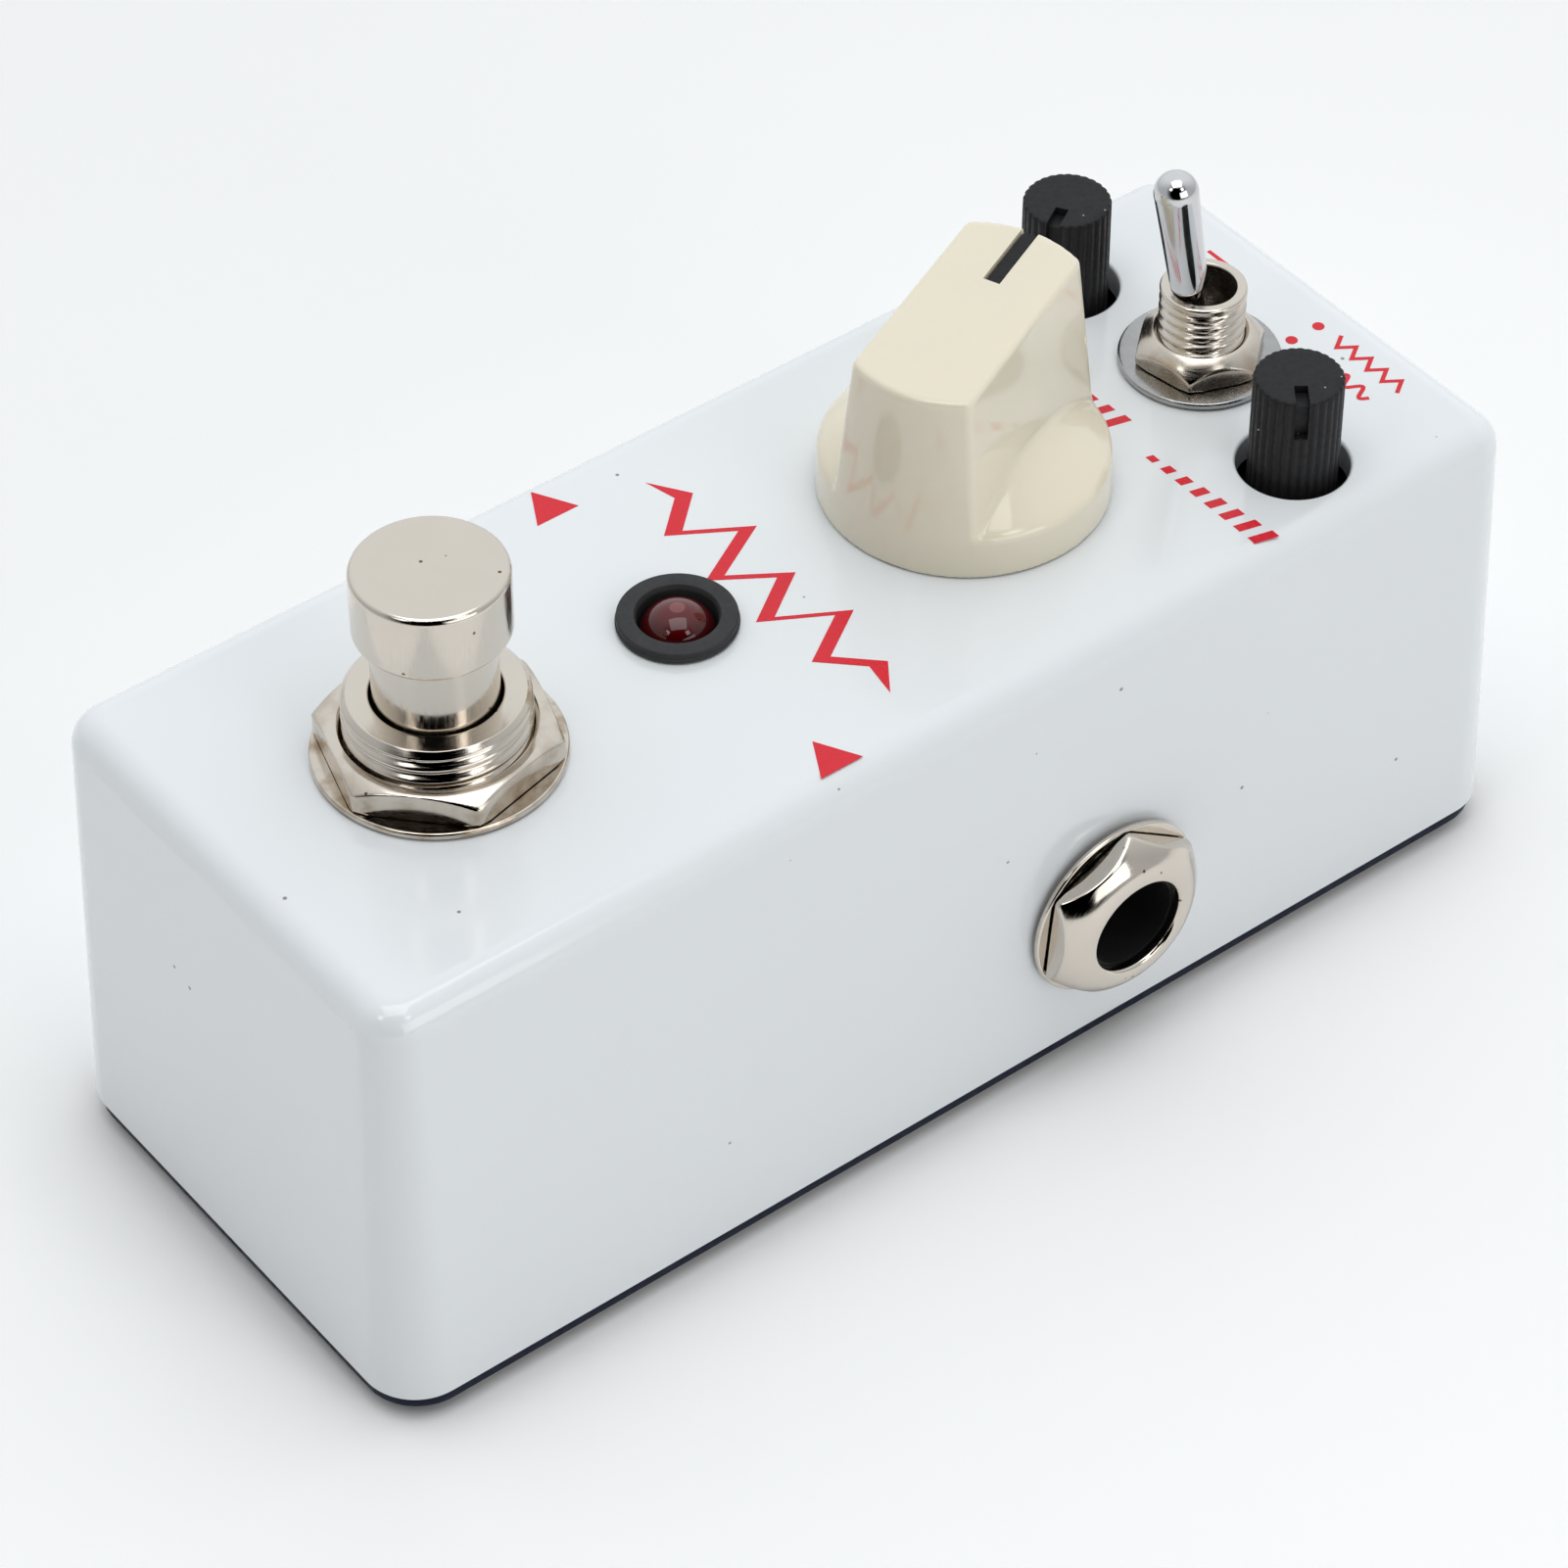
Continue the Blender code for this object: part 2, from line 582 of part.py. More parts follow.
# ---------------------------------------------------------------- footswitch
def build_footswitch_mount(axis):
    washer = ring(
        "footswitch_washer", FOOTSWITCH_WASHER_RADIUS, BUSHING_RADIUS + PANEL_FIT, GAP, GAP + WASHER_THICKNESS
    )
    complete(washer, "nickel", axis)
    nut_bottom = 2 * GAP + WASHER_THICKNESS
    nut_top = nut_bottom + FOOTSWITCH_NUT_HEIGHT
    nut_bore = BUSHING_RADIUS + GAP
    nut = hex_nut("footswitch_nut", FOOTSWITCH_NUT_FLATS, nut_bore, nut_bottom, nut_top, FOOTSWITCH_NUT_TURN)
    complete(nut, "nickel", axis)
    inner_top = -PANEL_THICKNESS - GAP
    inner_bottom = inner_top - FOOTSWITCH_NUT_HEIGHT
    inner = hex_nut("footswitch_inner_nut", FOOTSWITCH_NUT_FLATS, nut_bore, inner_bottom, inner_top)
    complete(inner, "nickel", axis)
    flange_top = SWITCH_BODY_TOP + GAP + BUSHING_FLANGE
    lip = BUSHING_TOP - THREAD_DEPTH
    flange_radius = SWITCH_CAVITY_RADIUS + OVERSHOOT
    outline = [(BUSHING_BORE, SWITCH_BODY_TOP + GAP), (flange_radius, SWITCH_BODY_TOP + GAP)]
    outline += [(flange_radius, flange_top), (BUSHING_RADIUS, flange_top)]
    outline += [(BUSHING_RADIUS, nut_top)]
    outline += thread(BUSHING_RADIUS, nut_top + GAP, lip, BUSHING_THREAD_TURNS)
    outline += [(BUSHING_RADIUS - 2 * THREAD_DEPTH, BUSHING_TOP), (BUSHING_BORE, BUSHING_TOP)]
    bushing = turned("footswitch_bushing", outline, hollow=True)
    fuse(bushing, flange_plate(flange_top))
    complete(bushing, "nickel", axis)


def flange_plate(top):
    """The square steel frame under the bushing."""
    plate = upright_box("plate", SWITCH_BODY_SIDE, SWITCH_BODY_SIDE, SWITCH_BODY_TOP + GAP, top)
    cut(plate, cylinder("hole", SWITCH_CAVITY_RADIUS, SWITCH_BODY_TOP - OVERSHOOT, top + OVERSHOOT))
    return plate


def lug_places():
    steps = (-1, 0, 1)
    return [(column * LUG_PITCH, row * LUG_PITCH) for row in steps for column in steps]


def lug_boxes(bottom, top, clearance):
    half_width = LUG_WIDTH / 2 + clearance
    half_thickness = LUG_THICKNESS / 2 + clearance
    return [
        ((x - half_width, y - half_thickness, bottom), (x + half_width, y + half_thickness, top))
        for x, y in lug_places()
    ]


def build_footswitch_body(axis):
    side = SWITCH_BODY_SIDE
    body = upright_box("footswitch_body", side, side, SWITCH_BODY_BOTTOM, SWITCH_BODY_TOP)
    roof = SWITCH_BODY_TOP - OVERSHOOT
    cut(body, cylinder("cavity", SWITCH_CAVITY_RADIUS, SWITCH_BODY_BOTTOM - OVERSHOOT, roof))
    cut(body, cylinder("hole", BUSHING_BORE, roof - OVERSHOOT, SWITCH_BODY_TOP + OVERSHOOT))
    complete(body, "blue_plastic", axis)
    base_top = SWITCH_BODY_BOTTOM - GAP
    base_bottom = base_top - SWITCH_BASE_THICKNESS
    base = upright_box("footswitch_base", side, side, base_bottom, base_top)
    cut(base, boxes("slots", lug_boxes(base_bottom - OVERSHOOT, base_top + OVERSHOOT, GAP)))
    complete(base, "brown_laminate", axis)
    for number, (low, high) in enumerate(lug_boxes(base_top - LUG_LENGTH, base_top, 0.0), 1):
        complete(box(f"footswitch_lug_{number}", low, high), "tinned_brass", axis)


def build_footswitch_button(axis):
    edge = BUTTON_EDGE
    outline = [
        (0.0, BUTTON_NECK_END),
        (BUTTON_NECK_RADIUS, BUTTON_NECK_END),
        (BUTTON_NECK_RADIUS, BUTTON_UNDERSIDE),
        (BUTTON_RADIUS - edge / 2, BUTTON_UNDERSIDE),
        (BUTTON_RADIUS, BUTTON_UNDERSIDE + edge),
        (BUTTON_RADIUS, BUTTON_TOP - edge),
        (BUTTON_RADIUS - ARC_MIDDLE * edge, BUTTON_TOP - ARC_MIDDLE * edge),
        (BUTTON_RADIUS - edge, BUTTON_TOP),
        (0.0, BUTTON_TOP),
    ]
    complete(turned("footswitch_button", outline), "nickel", axis)
    flange_top = BUTTON_NECK_END - GAP - ACTUATOR_FLANGE_DROP
    flange_bottom = flange_top - ACTUATOR_FLANGE_THICKNESS
    outline = [
        (0.0, ACTUATOR_END),
        (ACTUATOR_STEM_RADIUS, ACTUATOR_END),
        (ACTUATOR_STEM_RADIUS, flange_bottom),
        (ACTUATOR_FLANGE_RADIUS, flange_bottom),
        (ACTUATOR_FLANGE_RADIUS, flange_top),
        (ACTUATOR_RADIUS, flange_top),
        (ACTUATOR_RADIUS, BUTTON_NECK_END - GAP),
        (0.0, BUTTON_NECK_END - GAP),
    ]
    complete(turned("footswitch_actuator", outline, SMALL_ROUND_STEPS), "white_nylon", axis)
    return flange_bottom


def build_footswitch_spring(axis, top):
    """A coil between the terminal base and the actuator's flange."""
    bottom = SWITCH_BODY_BOTTOM + SPRING_SEAT_PLAY + SPRING_WIRE_RADIUS
    rise = top - GAP - SPRING_WIRE_RADIUS - bottom
    count = SPRING_TURNS * SPRING_STEPS_PER_TURN
    curve = bpy.data.curves.new("footswitch_spring", "CURVE")
    curve.dimensions = "3D"
    curve.bevel_depth = SPRING_WIRE_RADIUS
    curve.bevel_resolution = 0
    curve.use_fill_caps = True
    spline = curve.splines.new("POLY")
    spline.points.add(count)
    for step, point in enumerate(spline.points):
        angle = math.tau * step / SPRING_STEPS_PER_TURN
        height = bottom + rise * step / count
        point.co = (SPRING_RADIUS * math.cos(angle), SPRING_RADIUS * math.sin(angle), height, 1.0)
    coil = bpy.data.objects.new("coil", curve)
    bpy.context.scene.collection.objects.link(coil)
    graph = bpy.context.evaluated_depsgraph_get()
    bm = bmesh.new()
    bm.from_mesh(coil.evaluated_get(graph).to_mesh())
    bmesh.ops.remove_doubles(bm, verts=bm.verts, dist=MERGE_DISTANCE)
    bpy.data.objects.remove(coil)
    complete(make_object("footswitch_spring", bm), "spring_steel", axis)


def build_footswitch():
    axis = make_frame("footswitch_axis", (0.0, FOOTSWITCH_Y, PANEL_TOP))
    build_footswitch_mount(axis)
    build_footswitch_body(axis)
    flange_bottom = build_footswitch_button(axis)
    build_footswitch_spring(axis, flange_bottom)


# ---------------------------------------------------------------- status lamp
def build_lamp():
    axis = make_frame("lamp_axis", (LAMP_X, LAMP_Y, PANEL_TOP))
    top = GAP + BEZEL_HEIGHT
    outline = [
        (BEZEL_BORE, -BEZEL_SLEEVE_LENGTH),
        (BEZEL_SLEEVE_RADIUS - GAP, -BEZEL_SLEEVE_LENGTH),
        (BEZEL_SLEEVE_RADIUS - GAP, GAP),
        (BEZEL_RADIUS, GAP),
        (BEZEL_RADIUS, BEZEL_SHOULDER_HEIGHT),
        (BEZEL_RADIUS - BEZEL_SHOULDER_WIDTH, top),
        (BEZEL_BORE + BEZEL_LIP_WIDTH, top),
        (BEZEL_BORE, top - BEZEL_LIP_DROP),
    ]
    complete(turned("lamp_bezel", outline, hollow=True), "black_plastic", axis)
    dome_start = LAMP_TOP - LAMP_DOME_HEIGHT
    outline = [
        (0.0, LAMP_BASE),
        (LAMP_BASE_RADIUS, LAMP_BASE),
        (LAMP_BASE_RADIUS, LAMP_BASE + OVERSHOOT),
        (LAMP_RADIUS, LAMP_BASE + OVERSHOOT),
    ]
    for step in range(LAMP_DOME_STEPS):
        angle = math.pi / 2 * step / LAMP_DOME_STEPS
        outline.append((LAMP_RADIUS * math.cos(angle), dome_start + LAMP_DOME_HEIGHT * math.sin(angle)))
    outline.append((0.0, LAMP_TOP))
    lamp = turned("lamp_lens", outline, SMALL_ROUND_STEPS)
    leg_bottom = CONTROL_BOARD_TOP + GAP - PANEL_TOP
    half = LAMP_LEG_HALF_WIDTH
    for x in (-LAMP_LEG_X, LAMP_LEG_X):
        fuse(lamp, box("leg", (x - half, -half, leg_bottom), (x + half, half, LAMP_BASE + half)))
    complete(lamp, "red_lens", axis)


# ---------------------------------------------------------------- large knob
def knob_dome():
    """The round foot of the knob: a short band under a shallow dome."""
    outline = [(0.0, KNOB_LIFT), (KNOB_BASE_RADIUS, KNOB_LIFT)]
    drop = KNOB_DOME_HEIGHT - KNOB_RIM_HEIGHT
    for step in range(KNOB_DOME_STEPS):
        radius = KNOB_BASE_RADIUS * (1 - step / KNOB_DOME_STEPS)
        outline.append((radius, KNOB_DOME_HEIGHT - drop * (radius / KNOB_BASE_RADIUS) ** 2))
    outline.append((0.0, KNOB_DOME_HEIGHT))
    return turned("main_knob", outline, KNOB_STEPS)


def knob_grip():
    """The tapered grip across the knob, whose ends follow a cone and whose top climbs to the pointer."""
    low = KNOB_RIM_HEIGHT - OVERSHOOT
    reach = KNOB_BASE_RADIUS + OVERSHOOT
    slope = (KNOB_TOP_POINTER - KNOB_TOP_FRONT) / (2 * KNOB_CROWN_RADIUS)
    middle = (KNOB_TOP_POINTER + KNOB_TOP_FRONT) / 2
    widen = (KNOB_GRIP_BASE_WIDTH - KNOB_GRIP_TOP_WIDTH) / 2 / (middle - KNOB_RIM_HEIGHT)
    half_low = KNOB_GRIP_TOP_WIDTH / 2 + widen * (middle - low)
    half_high = KNOB_GRIP_TOP_WIDTH / 2
    signs = ((-1, -1), (1, -1), (1, 1), (-1, 1))
    foot = [(sx * half_low, sy * reach, low) for sx, sy in signs]
    crown = [(sx * half_high, sy * reach, middle + slope * sy * reach) for sx, sy in signs]
    grip = lofted("grip", [foot, crown])
    cone_top = KNOB_TOP_POINTER + OVERSHOOT
    lean = (KNOB_BASE_RADIUS - KNOB_CROWN_RADIUS) / (middle - KNOB_RIM_HEIGHT)
    top_radius = KNOB_CROWN_RADIUS - lean * (cone_top - middle)
    low_radius = KNOB_CROWN_RADIUS + lean * (middle - low) - 2 * GAP
    cone_outline = [(0.0, low), (low_radius, low), (top_radius, cone_top), (0.0, cone_top)]
    trim_to(grip, turned("cone", cone_outline, KNOB_STEPS))
    return grip


def pointer_box(name, clearance):
    """The pointer's groove, or with no clearance the strip that fills it."""
    half = POINTER_WIDTH / 2 + clearance
    end = KNOB_CROWN_RADIUS + (OVERSHOOT if clearance else -POINTER_END_PLAY)
    slope = (KNOB_TOP_POINTER - KNOB_TOP_FRONT) / (2 * KNOB_CROWN_RADIUS)
    middle = (KNOB_TOP_POINTER + KNOB_TOP_FRONT) / 2
    start = POINTER_START - clearance
    loops = []
    for depth in (POINTER_DEPTH + clearance, -OVERSHOOT if clearance else POINTER_SINK):
        corners = ((-half, start), (half, start), (half, end), (-half, end))
        loops.append([(x, y, middle + slope * y - depth) for x, y in corners])
    return lofted(name, loops)


def build_large_knob():
    axis = make_frame("main_knob_axis", (0.0, KNOB_Y, PANEL_TOP), (0.0, 0.0, KNOB_TURN))
    knob = knob_dome()
    fuse(knob, knob_grip())
    cut(knob, cylinder("recess", KNOB_RECESS_RADIUS, -OVERSHOOT, KNOB_RECESS_TOP))
    cut(knob, cylinder("bore", KNOB_BORE, 0.0, KNOB_BORE_TOP))
    cut(knob, pointer_box("groove", GAP))
    complete(knob, "cream_plastic", axis)
    complete(pointer_box("main_knob_pointer", 0.0), "black_plastic", axis)
    shaft = cylinder("main_pot_shaft", POT_SHAFT_RADIUS, POT_SHAFT_BOTTOM, POT_SHAFT_TOP)
    complete(shaft, "nickel", axis)


def build_large_pot():
    axis = make_frame("main_pot_axis", (0.0, KNOB_Y, PANEL_TOP))
    side = POT_BODY_SIDE
    bottom = CONTROL_BOARD_TOP + GAP - PANEL_TOP
    body = upright_box("main_pot_body", side, side, bottom, -PANEL_THICKNESS - GAP)
    fuse(body, cylinder("bushing", POT_BUSHING_RADIUS, bottom + OVERSHOOT, POT_BUSHING_TOP))
    cut(body, cylinder("bore", POT_SHAFT_BORE, POT_SHAFT_BOTTOM - 2 * GAP, POT_BUSHING_TOP + OVERSHOOT))
    complete(body, "nickel", axis)
    nut = hex_nut("main_pot_nut", POT_NUT_FLATS, POT_BUSHING_RADIUS + GAP, GAP, GAP + POT_NUT_HEIGHT)
    complete(nut, "nickel", axis)


# ---------------------------------------------------------------- small knobs
def small_knob(name):
    """A plastic shaft whose upper end is the knob, with a pointer slot over its edge towards +Y."""
    outline = [
        (0.0, SMALL_SHAFT_BOTTOM),
        (SMALL_SHAFT_RADIUS, SMALL_SHAFT_BOTTOM),
        (SMALL_SHAFT_RADIUS, SMALL_KNOB_BOTTOM),
        (SMALL_KNOB_RADIUS, SMALL_KNOB_BOTTOM),
        (SMALL_KNOB_RADIUS, SMALL_KNOB_TOP - SMALL_KNOB_EDGE),
        (SMALL_KNOB_RADIUS - SMALL_KNOB_EDGE, SMALL_KNOB_TOP),
        (0.0, SMALL_KNOB_TOP),
    ]
    knob = turned(name, outline, SMALL_ROUND_STEPS)
    half = SMALL_SLOT_WIDTH / 2
    outside = SMALL_KNOB_RADIUS + OVERSHOOT
    above = SMALL_KNOB_TOP + OVERSHOOT
    side_start = SMALL_KNOB_RADIUS - SMALL_SLOT_DEPTH
    for start, depth in ((SMALL_SLOT_START, SMALL_SLOT_DEPTH), (side_start, SMALL_SLOT_DROP)):
        cut(knob, box("slot", (-half, start, SMALL_KNOB_TOP - depth), (half, outside, above)))
    return knob


def build_small_knobs():
    for side, x, turn in (("left", -SMALL_KNOB_X, LEFT_KNOB_TURN), ("right", SMALL_KNOB_X, RIGHT_KNOB_TURN)):
        axis = make_frame(side + "_knob_axis", (x, SMALL_KNOB_Y, PANEL_TOP), (0.0, 0.0, turn))
        complete(small_knob(side + "_knob"), "black_plastic", axis)
        bottom = CONTROL_BOARD_TOP + GAP - PANEL_TOP
        body = upright_box(side + "_pot_body", SMALL_POT_WIDTH, SMALL_POT_LENGTH, bottom, SMALL_POT_TOP)
        cut(body, cylinder("bore", SMALL_SHAFT_BORE, SMALL_SHAFT_BOTTOM - 2 * GAP, 0.0, SMALL_ROUND_STEPS))
        body.location = (x, SMALL_KNOB_Y, PANEL_TOP)
        complete(body, "black_plastic")


# ---------------------------------------------------------------- toggle switch
def build_toggle_mount(axis):
    bore = TOGGLE_BUSHING_RADIUS + GAP
    washer = ring("toggle_washer", TOGGLE_WASHER_RADIUS, bore, GAP, GAP + WASHER_THICKNESS)
    complete(washer, "chrome", axis)
    bottom = 2 * GAP + WASHER_THICKNESS
    top = bottom + TOGGLE_NUT_HEIGHT
    nut = hex_nut("toggle_nut", TOGGLE_NUT_FLATS, bore, bottom, top, TOGGLE_NUT_TURN)
    complete(nut, "nickel", axis)
    frame_bottom = TOGGLE_BODY_TOP + GAP
    frame_top = frame_bottom + TOGGLE_FRAME_THICKNESS
    outline = [(TOGGLE_SOCKET_BORE, frame_bottom), (TOGGLE_BUSHING_RADIUS, frame_bottom)]
    outline += [(TOGGLE_BUSHING_RADIUS, top)]
    outline += thread(TOGGLE_BUSHING_RADIUS, top + GAP, TOGGLE_BUSHING_TOP - GAP, TOGGLE_THREAD_TURNS)
    outline += [(TOGGLE_MOUTH_BORE + GAP, TOGGLE_BUSHING_TOP), (TOGGLE_MOUTH_BORE, TOGGLE_BUSHING_TOP)]
    outline += [(TOGGLE_MOUTH_BORE, TOGGLE_BUSHING_TOP / 2), (TOGGLE_SOCKET_BORE, OVERSHOOT)]
    bushing = turned("toggle_bushing", outline, SMALL_ROUND_STEPS, hollow=True)
    plate = upright_box("plate", TOGGLE_BODY_WIDTH, TOGGLE_BODY_LENGTH, frame_bottom, frame_top)
    middle = (TOGGLE_SOCKET_BORE + TOGGLE_BUSHING_RADIUS) / 2
    cut(plate, cylinder("hole", middle, frame_bottom - OVERSHOOT, frame_top + OVERSHOOT, SMALL_ROUND_STEPS))
    fuse(bushing, plate)
    complete(bushing, "nickel", axis)


def terminal_boxes(clearance):
    """The three solder terminals of the toggle switch; the middle one reaches higher, under the rocker."""
    half_width = TERMINAL_WIDTH / 2 + clearance
    half_thickness = TERMINAL_THICKNESS / 2 + clearance
    pairs = []
    for step in (-1, 0, 1):
        y = step * TERMINAL_PITCH
        drop = OUTER_TERMINAL_DROP if step else MIDDLE_TERMINAL_DROP
        top = ROCKER_HEIGHT - ROCKER_THICKNESS / 2 - drop
        pairs.append(((-half_width, y - half_thickness, TERMINAL_END), (half_width, y + half_thickness, top)))
    return pairs


def build_toggle_body(axis):
    width = TOGGLE_BODY_WIDTH
    length = TOGGLE_BODY_LENGTH
    body = upright_box("toggle_body", width, length, TOGGLE_BODY_BOTTOM, TOGGLE_BODY_TOP)
    inner_width = width - 2 * TOGGLE_BODY_WALL
    inner_length = length - 2 * TOGGLE_BODY_WALL
    hollow_bottom = TOGGLE_BODY_BOTTOM + TOGGLE_BODY_WALL
    hollow_top = TOGGLE_BODY_TOP + OVERSHOOT
    cut(body, upright_box("hollow", inner_width, inner_length, hollow_bottom, hollow_top))
    cut(body, boxes("slots", terminal_boxes(GAP)))
    complete(body, "blue_plastic", axis)
    for number, (low, high) in enumerate(terminal_boxes(0.0), 1):
        complete(box(f"toggle_terminal_{number}", low, high), "tinned_brass", axis)


def lever_outline():
    """Half outline of the bat lever, from the end of its tail to its rounded tip."""
    tip_centre = LEVER_LENGTH - LEVER_TIP_RADIUS
    outline = [(0.0, -LEVER_TAIL_LENGTH), (LEVER_TAIL_RADIUS, -LEVER_TAIL_LENGTH)]
    start = -math.pi / 2 + math.asin(LEVER_TAIL_RADIUS / LEVER_BALL_RADIUS)
    finish = math.pi / 2 - math.asin(LEVER_NECK_RADIUS / LEVER_BALL_RADIUS)
    for step in range(LEVER_BALL_STEPS + 1):
        angle = start + (finish - start) * step / LEVER_BALL_STEPS
        outline.append((LEVER_BALL_RADIUS * math.cos(angle), LEVER_BALL_RADIUS * math.sin(angle)))
    outline += [(LEVER_NECK_RADIUS, TOGGLE_BUSHING_TOP), (LEVER_GRIP_RADIUS, TOGGLE_BUSHING_TOP + OVERSHOOT)]
    for step in range(LEVER_TIP_STEPS):
        angle = math.pi / 2 * step / LEVER_TIP_STEPS
        outline.append((LEVER_TIP_RADIUS * math.cos(angle), tip_centre + LEVER_TIP_RADIUS * math.sin(angle)))
    outline.append((0.0, LEVER_LENGTH))
    return outline


def build_toggle():
    axis = make_frame("toggle_axis", (0.0, TOGGLE_Y, PANEL_TOP))
    build_toggle_mount(axis)
    build_toggle_body(axis)
    lever_frame = make_frame("toggle_lever_axis", (0.0, TOGGLE_Y, PANEL_TOP), (TOGGLE_LEAN, 0.0, 0.0))
    complete(turned("toggle_lever", lever_outline(), SMALL_ROUND_STEPS), "chrome", lever_frame)
    rocker_place = (0.0, TOGGLE_Y, PANEL_TOP + ROCKER_HEIGHT)
    rocker_frame = make_frame("toggle_rocker_axis", rocker_place, (-TOGGLE_LEAN, 0.0, 0.0))
    half = ROCKER_THICKNESS / 2
    rocker = upright_box("toggle_rocker", ROCKER_WIDTH, ROCKER_LENGTH, -half, half)
    complete(rocker, "tinned_brass", rocker_frame)


# ---------------------------------------------------------------- quarter-inch jacks
def build_jack(name, side, y):
    """One jack in its own frame, whose +Z leaves the wall and whose +X points down or up."""
    rotation = (0.0, side * math.pi / 2, 0.0)
    frame = make_frame(name + "_frame", (side * JACK_WALL_FACE, y, JACK_HEIGHT), rotation)
    start = JACK_BODY_START
    body = upright_box(name + "_body", JACK_BODY_HEIGHT, JACK_BODY_WIDTH, start - JACK_BODY_LENGTH, start)
    fuse(body, cylinder("nose", JACK_NOSE_RADIUS, start - OVERSHOOT, JACK_NOSE_END))
    cut(body, cylinder("bore", JACK_BORE, start - JACK_BODY_LENGTH - OVERSHOOT, JACK_NOSE_END + OVERSHOOT))
    up = -side  # the local X direction that points up in the world
    slot_start = start - JACK_BODY_LENGTH + OVERSHOOT
    slot_end = slot_start + TIP_SLOT_LENGTH
    half_slot = TIP_SLOT_WIDTH / 2
    edges = sorted((0.0, up * (JACK_BODY_HEIGHT / 2 + OVERSHOOT)))
    cut(body, box("slot", (edges[0], -half_slot, slot_start), (edges[1], half_slot, slot_end)))
    complete(body, "black_plastic", frame)
    complete(tip_spring(name + "_tip_spring", up, slot_start, slot_end), "spring_steel", frame)
    washer = ring(name + "_washer", JACK_WASHER_RADIUS, JACK_NOSE_RADIUS + GAP, GAP / 2, WASHER_THICKNESS)
    complete(washer, "nickel", frame)
    complete(jack_nut(name + "_nut", side * JACK_NUT_TURN), "nickel", frame)


def jack_nut(name, turn):
    """A hexagonal nut whose domed front closes over the jack's nose, down to the bore."""
    outline = [
        (JACK_NOSE_RADIUS + GAP, JACK_NUT_START),
        (JACK_NUT_FLATS / math.sqrt(3) + GAP, JACK_NUT_SHOULDER),
        (JACK_NUT_SLOPE_RADIUS, JACK_NUT_SLOPE_HEIGHT),
        (JACK_NUT_LAND_RADIUS, JACK_NUT_END),
        (JACK_NUT_BORE, JACK_NUT_END),
        (JACK_NUT_BORE, JACK_NUT_LIP_START),
        (JACK_NOSE_RADIUS + GAP, JACK_NUT_LIP_START),
    ]
    return hex_solid(name, JACK_NUT_FLATS, turn, JACK_NUT_START, outline)


def tip_spring(name, up, slot_start, slot_end):
    """A bent leaf in the jack's upper slot, whose elbow waits at the edge of the bore for a plug's tip."""
    high = JACK_BODY_HEIGHT / 2 - TIP_SPRING_INSET
    low = JACK_BORE - TIP_SPRING_REACH
    thickness = TIP_SPRING_THICKNESS
    middle = (slot_start + slot_end) / 2
    far = slot_start + TIP_SPRING_INSET
    near = slot_end - TIP_SPRING_INSET
    path = ((near, high), (middle, low), (far, high - thickness))
    lower = [(up * x, z) for z, x in path]
    upper = [(up * (x + thickness), z) for z, x in reversed(path)]
    half = TIP_SPRING_WIDTH / 2
    loops = [[(x, y, z) for x, z in lower + upper] for y in (-half, half)]
    return lofted(name, loops)


# ---------------------------------------------------------------- DC socket
def build_dc_socket():
    frame = make_frame("dc_frame", (0.0, BODY_LENGTH / 2, DC_HEIGHT), (-math.pi / 2, 0.0, 0.0))
    body = upright_box("dc_socket_body", DC_BODY_WIDTH, DC_BODY_HEIGHT, DC_BODY_END, DC_BODY_START)
    nose_end = DC_NOSE_END
    fuse(body, cylinder("nose", DC_NOSE_RADIUS, DC_BODY_START - OVERSHOOT, nose_end))
    cut(body, cylinder("bore", DC_BORE, nose_end - DC_BORE_DEPTH, nose_end + OVERSHOOT))
    pin_end = nose_end - DC_PIN_PLAY
    pin_start = pin_end - DC_PIN_LENGTH
    hole = cylinder("hole", DC_PIN_RADIUS + GAP, pin_start - GAP, pin_end, SMALL_ROUND_STEPS)
    cut(body, hole)
    complete(body, "black_plastic", frame)
    tip = DC_PIN_RADIUS / 2
    outline = [(0.0, pin_start), (DC_PIN_RADIUS, pin_start), (DC_PIN_RADIUS, pin_end - tip)]
    outline += [(tip, pin_end), (0.0, pin_end)]
    complete(turned("dc_socket_pin", outline, SMALL_ROUND_STEPS), "nickel", frame)


# ---------------------------------------------------------------- circuit boards
def build_boards():
    half = CONTROL_BOARD_HALF_WIDTH
    rear = CONTROL_BOARD_REAR
    notch = CONTROL_BOARD_NOTCH
    outline = [(-half, CONTROL_BOARD_FRONT), (half, CONTROL_BOARD_FRONT), (half, rear), (notch, rear)]
    outline += [(notch, CONTROL_BOARD_NOTCH_START), (-notch, CONTROL_BOARD_NOTCH_START)]
    outline += [(-notch, rear), (-half, rear)]
    control = prism("control_board", outline, CONTROL_BOARD_BOTTOM, CONTROL_BOARD_TOP)
    complete(control, "green_board")
    low = (-half, MAIN_BOARD_FRONT, MAIN_BOARD_BOTTOM)
    complete(box("main_board", low, (half, MAIN_BOARD_REAR, MAIN_BOARD_TOP)), "green_board")
    bottom = MAIN_BOARD_TOP + GAP
    header = upright_box("board_header", HEADER_LENGTH, HEADER_WIDTH, bottom, CONTROL_BOARD_BOTTOM - GAP)
    complete(header, "black_plastic")


def main():
    clear_scene()
    build_shell()
    build_base()
    build_footswitch()
    build_lamp()
    build_large_knob()
    build_large_pot()
    build_small_knobs()
    build_toggle()
    build_jack("input_jack", 1, INPUT_JACK_Y)
    build_jack("output_jack", -1, OUTPUT_JACK_Y)
    build_dc_socket()
    build_boards()


main()
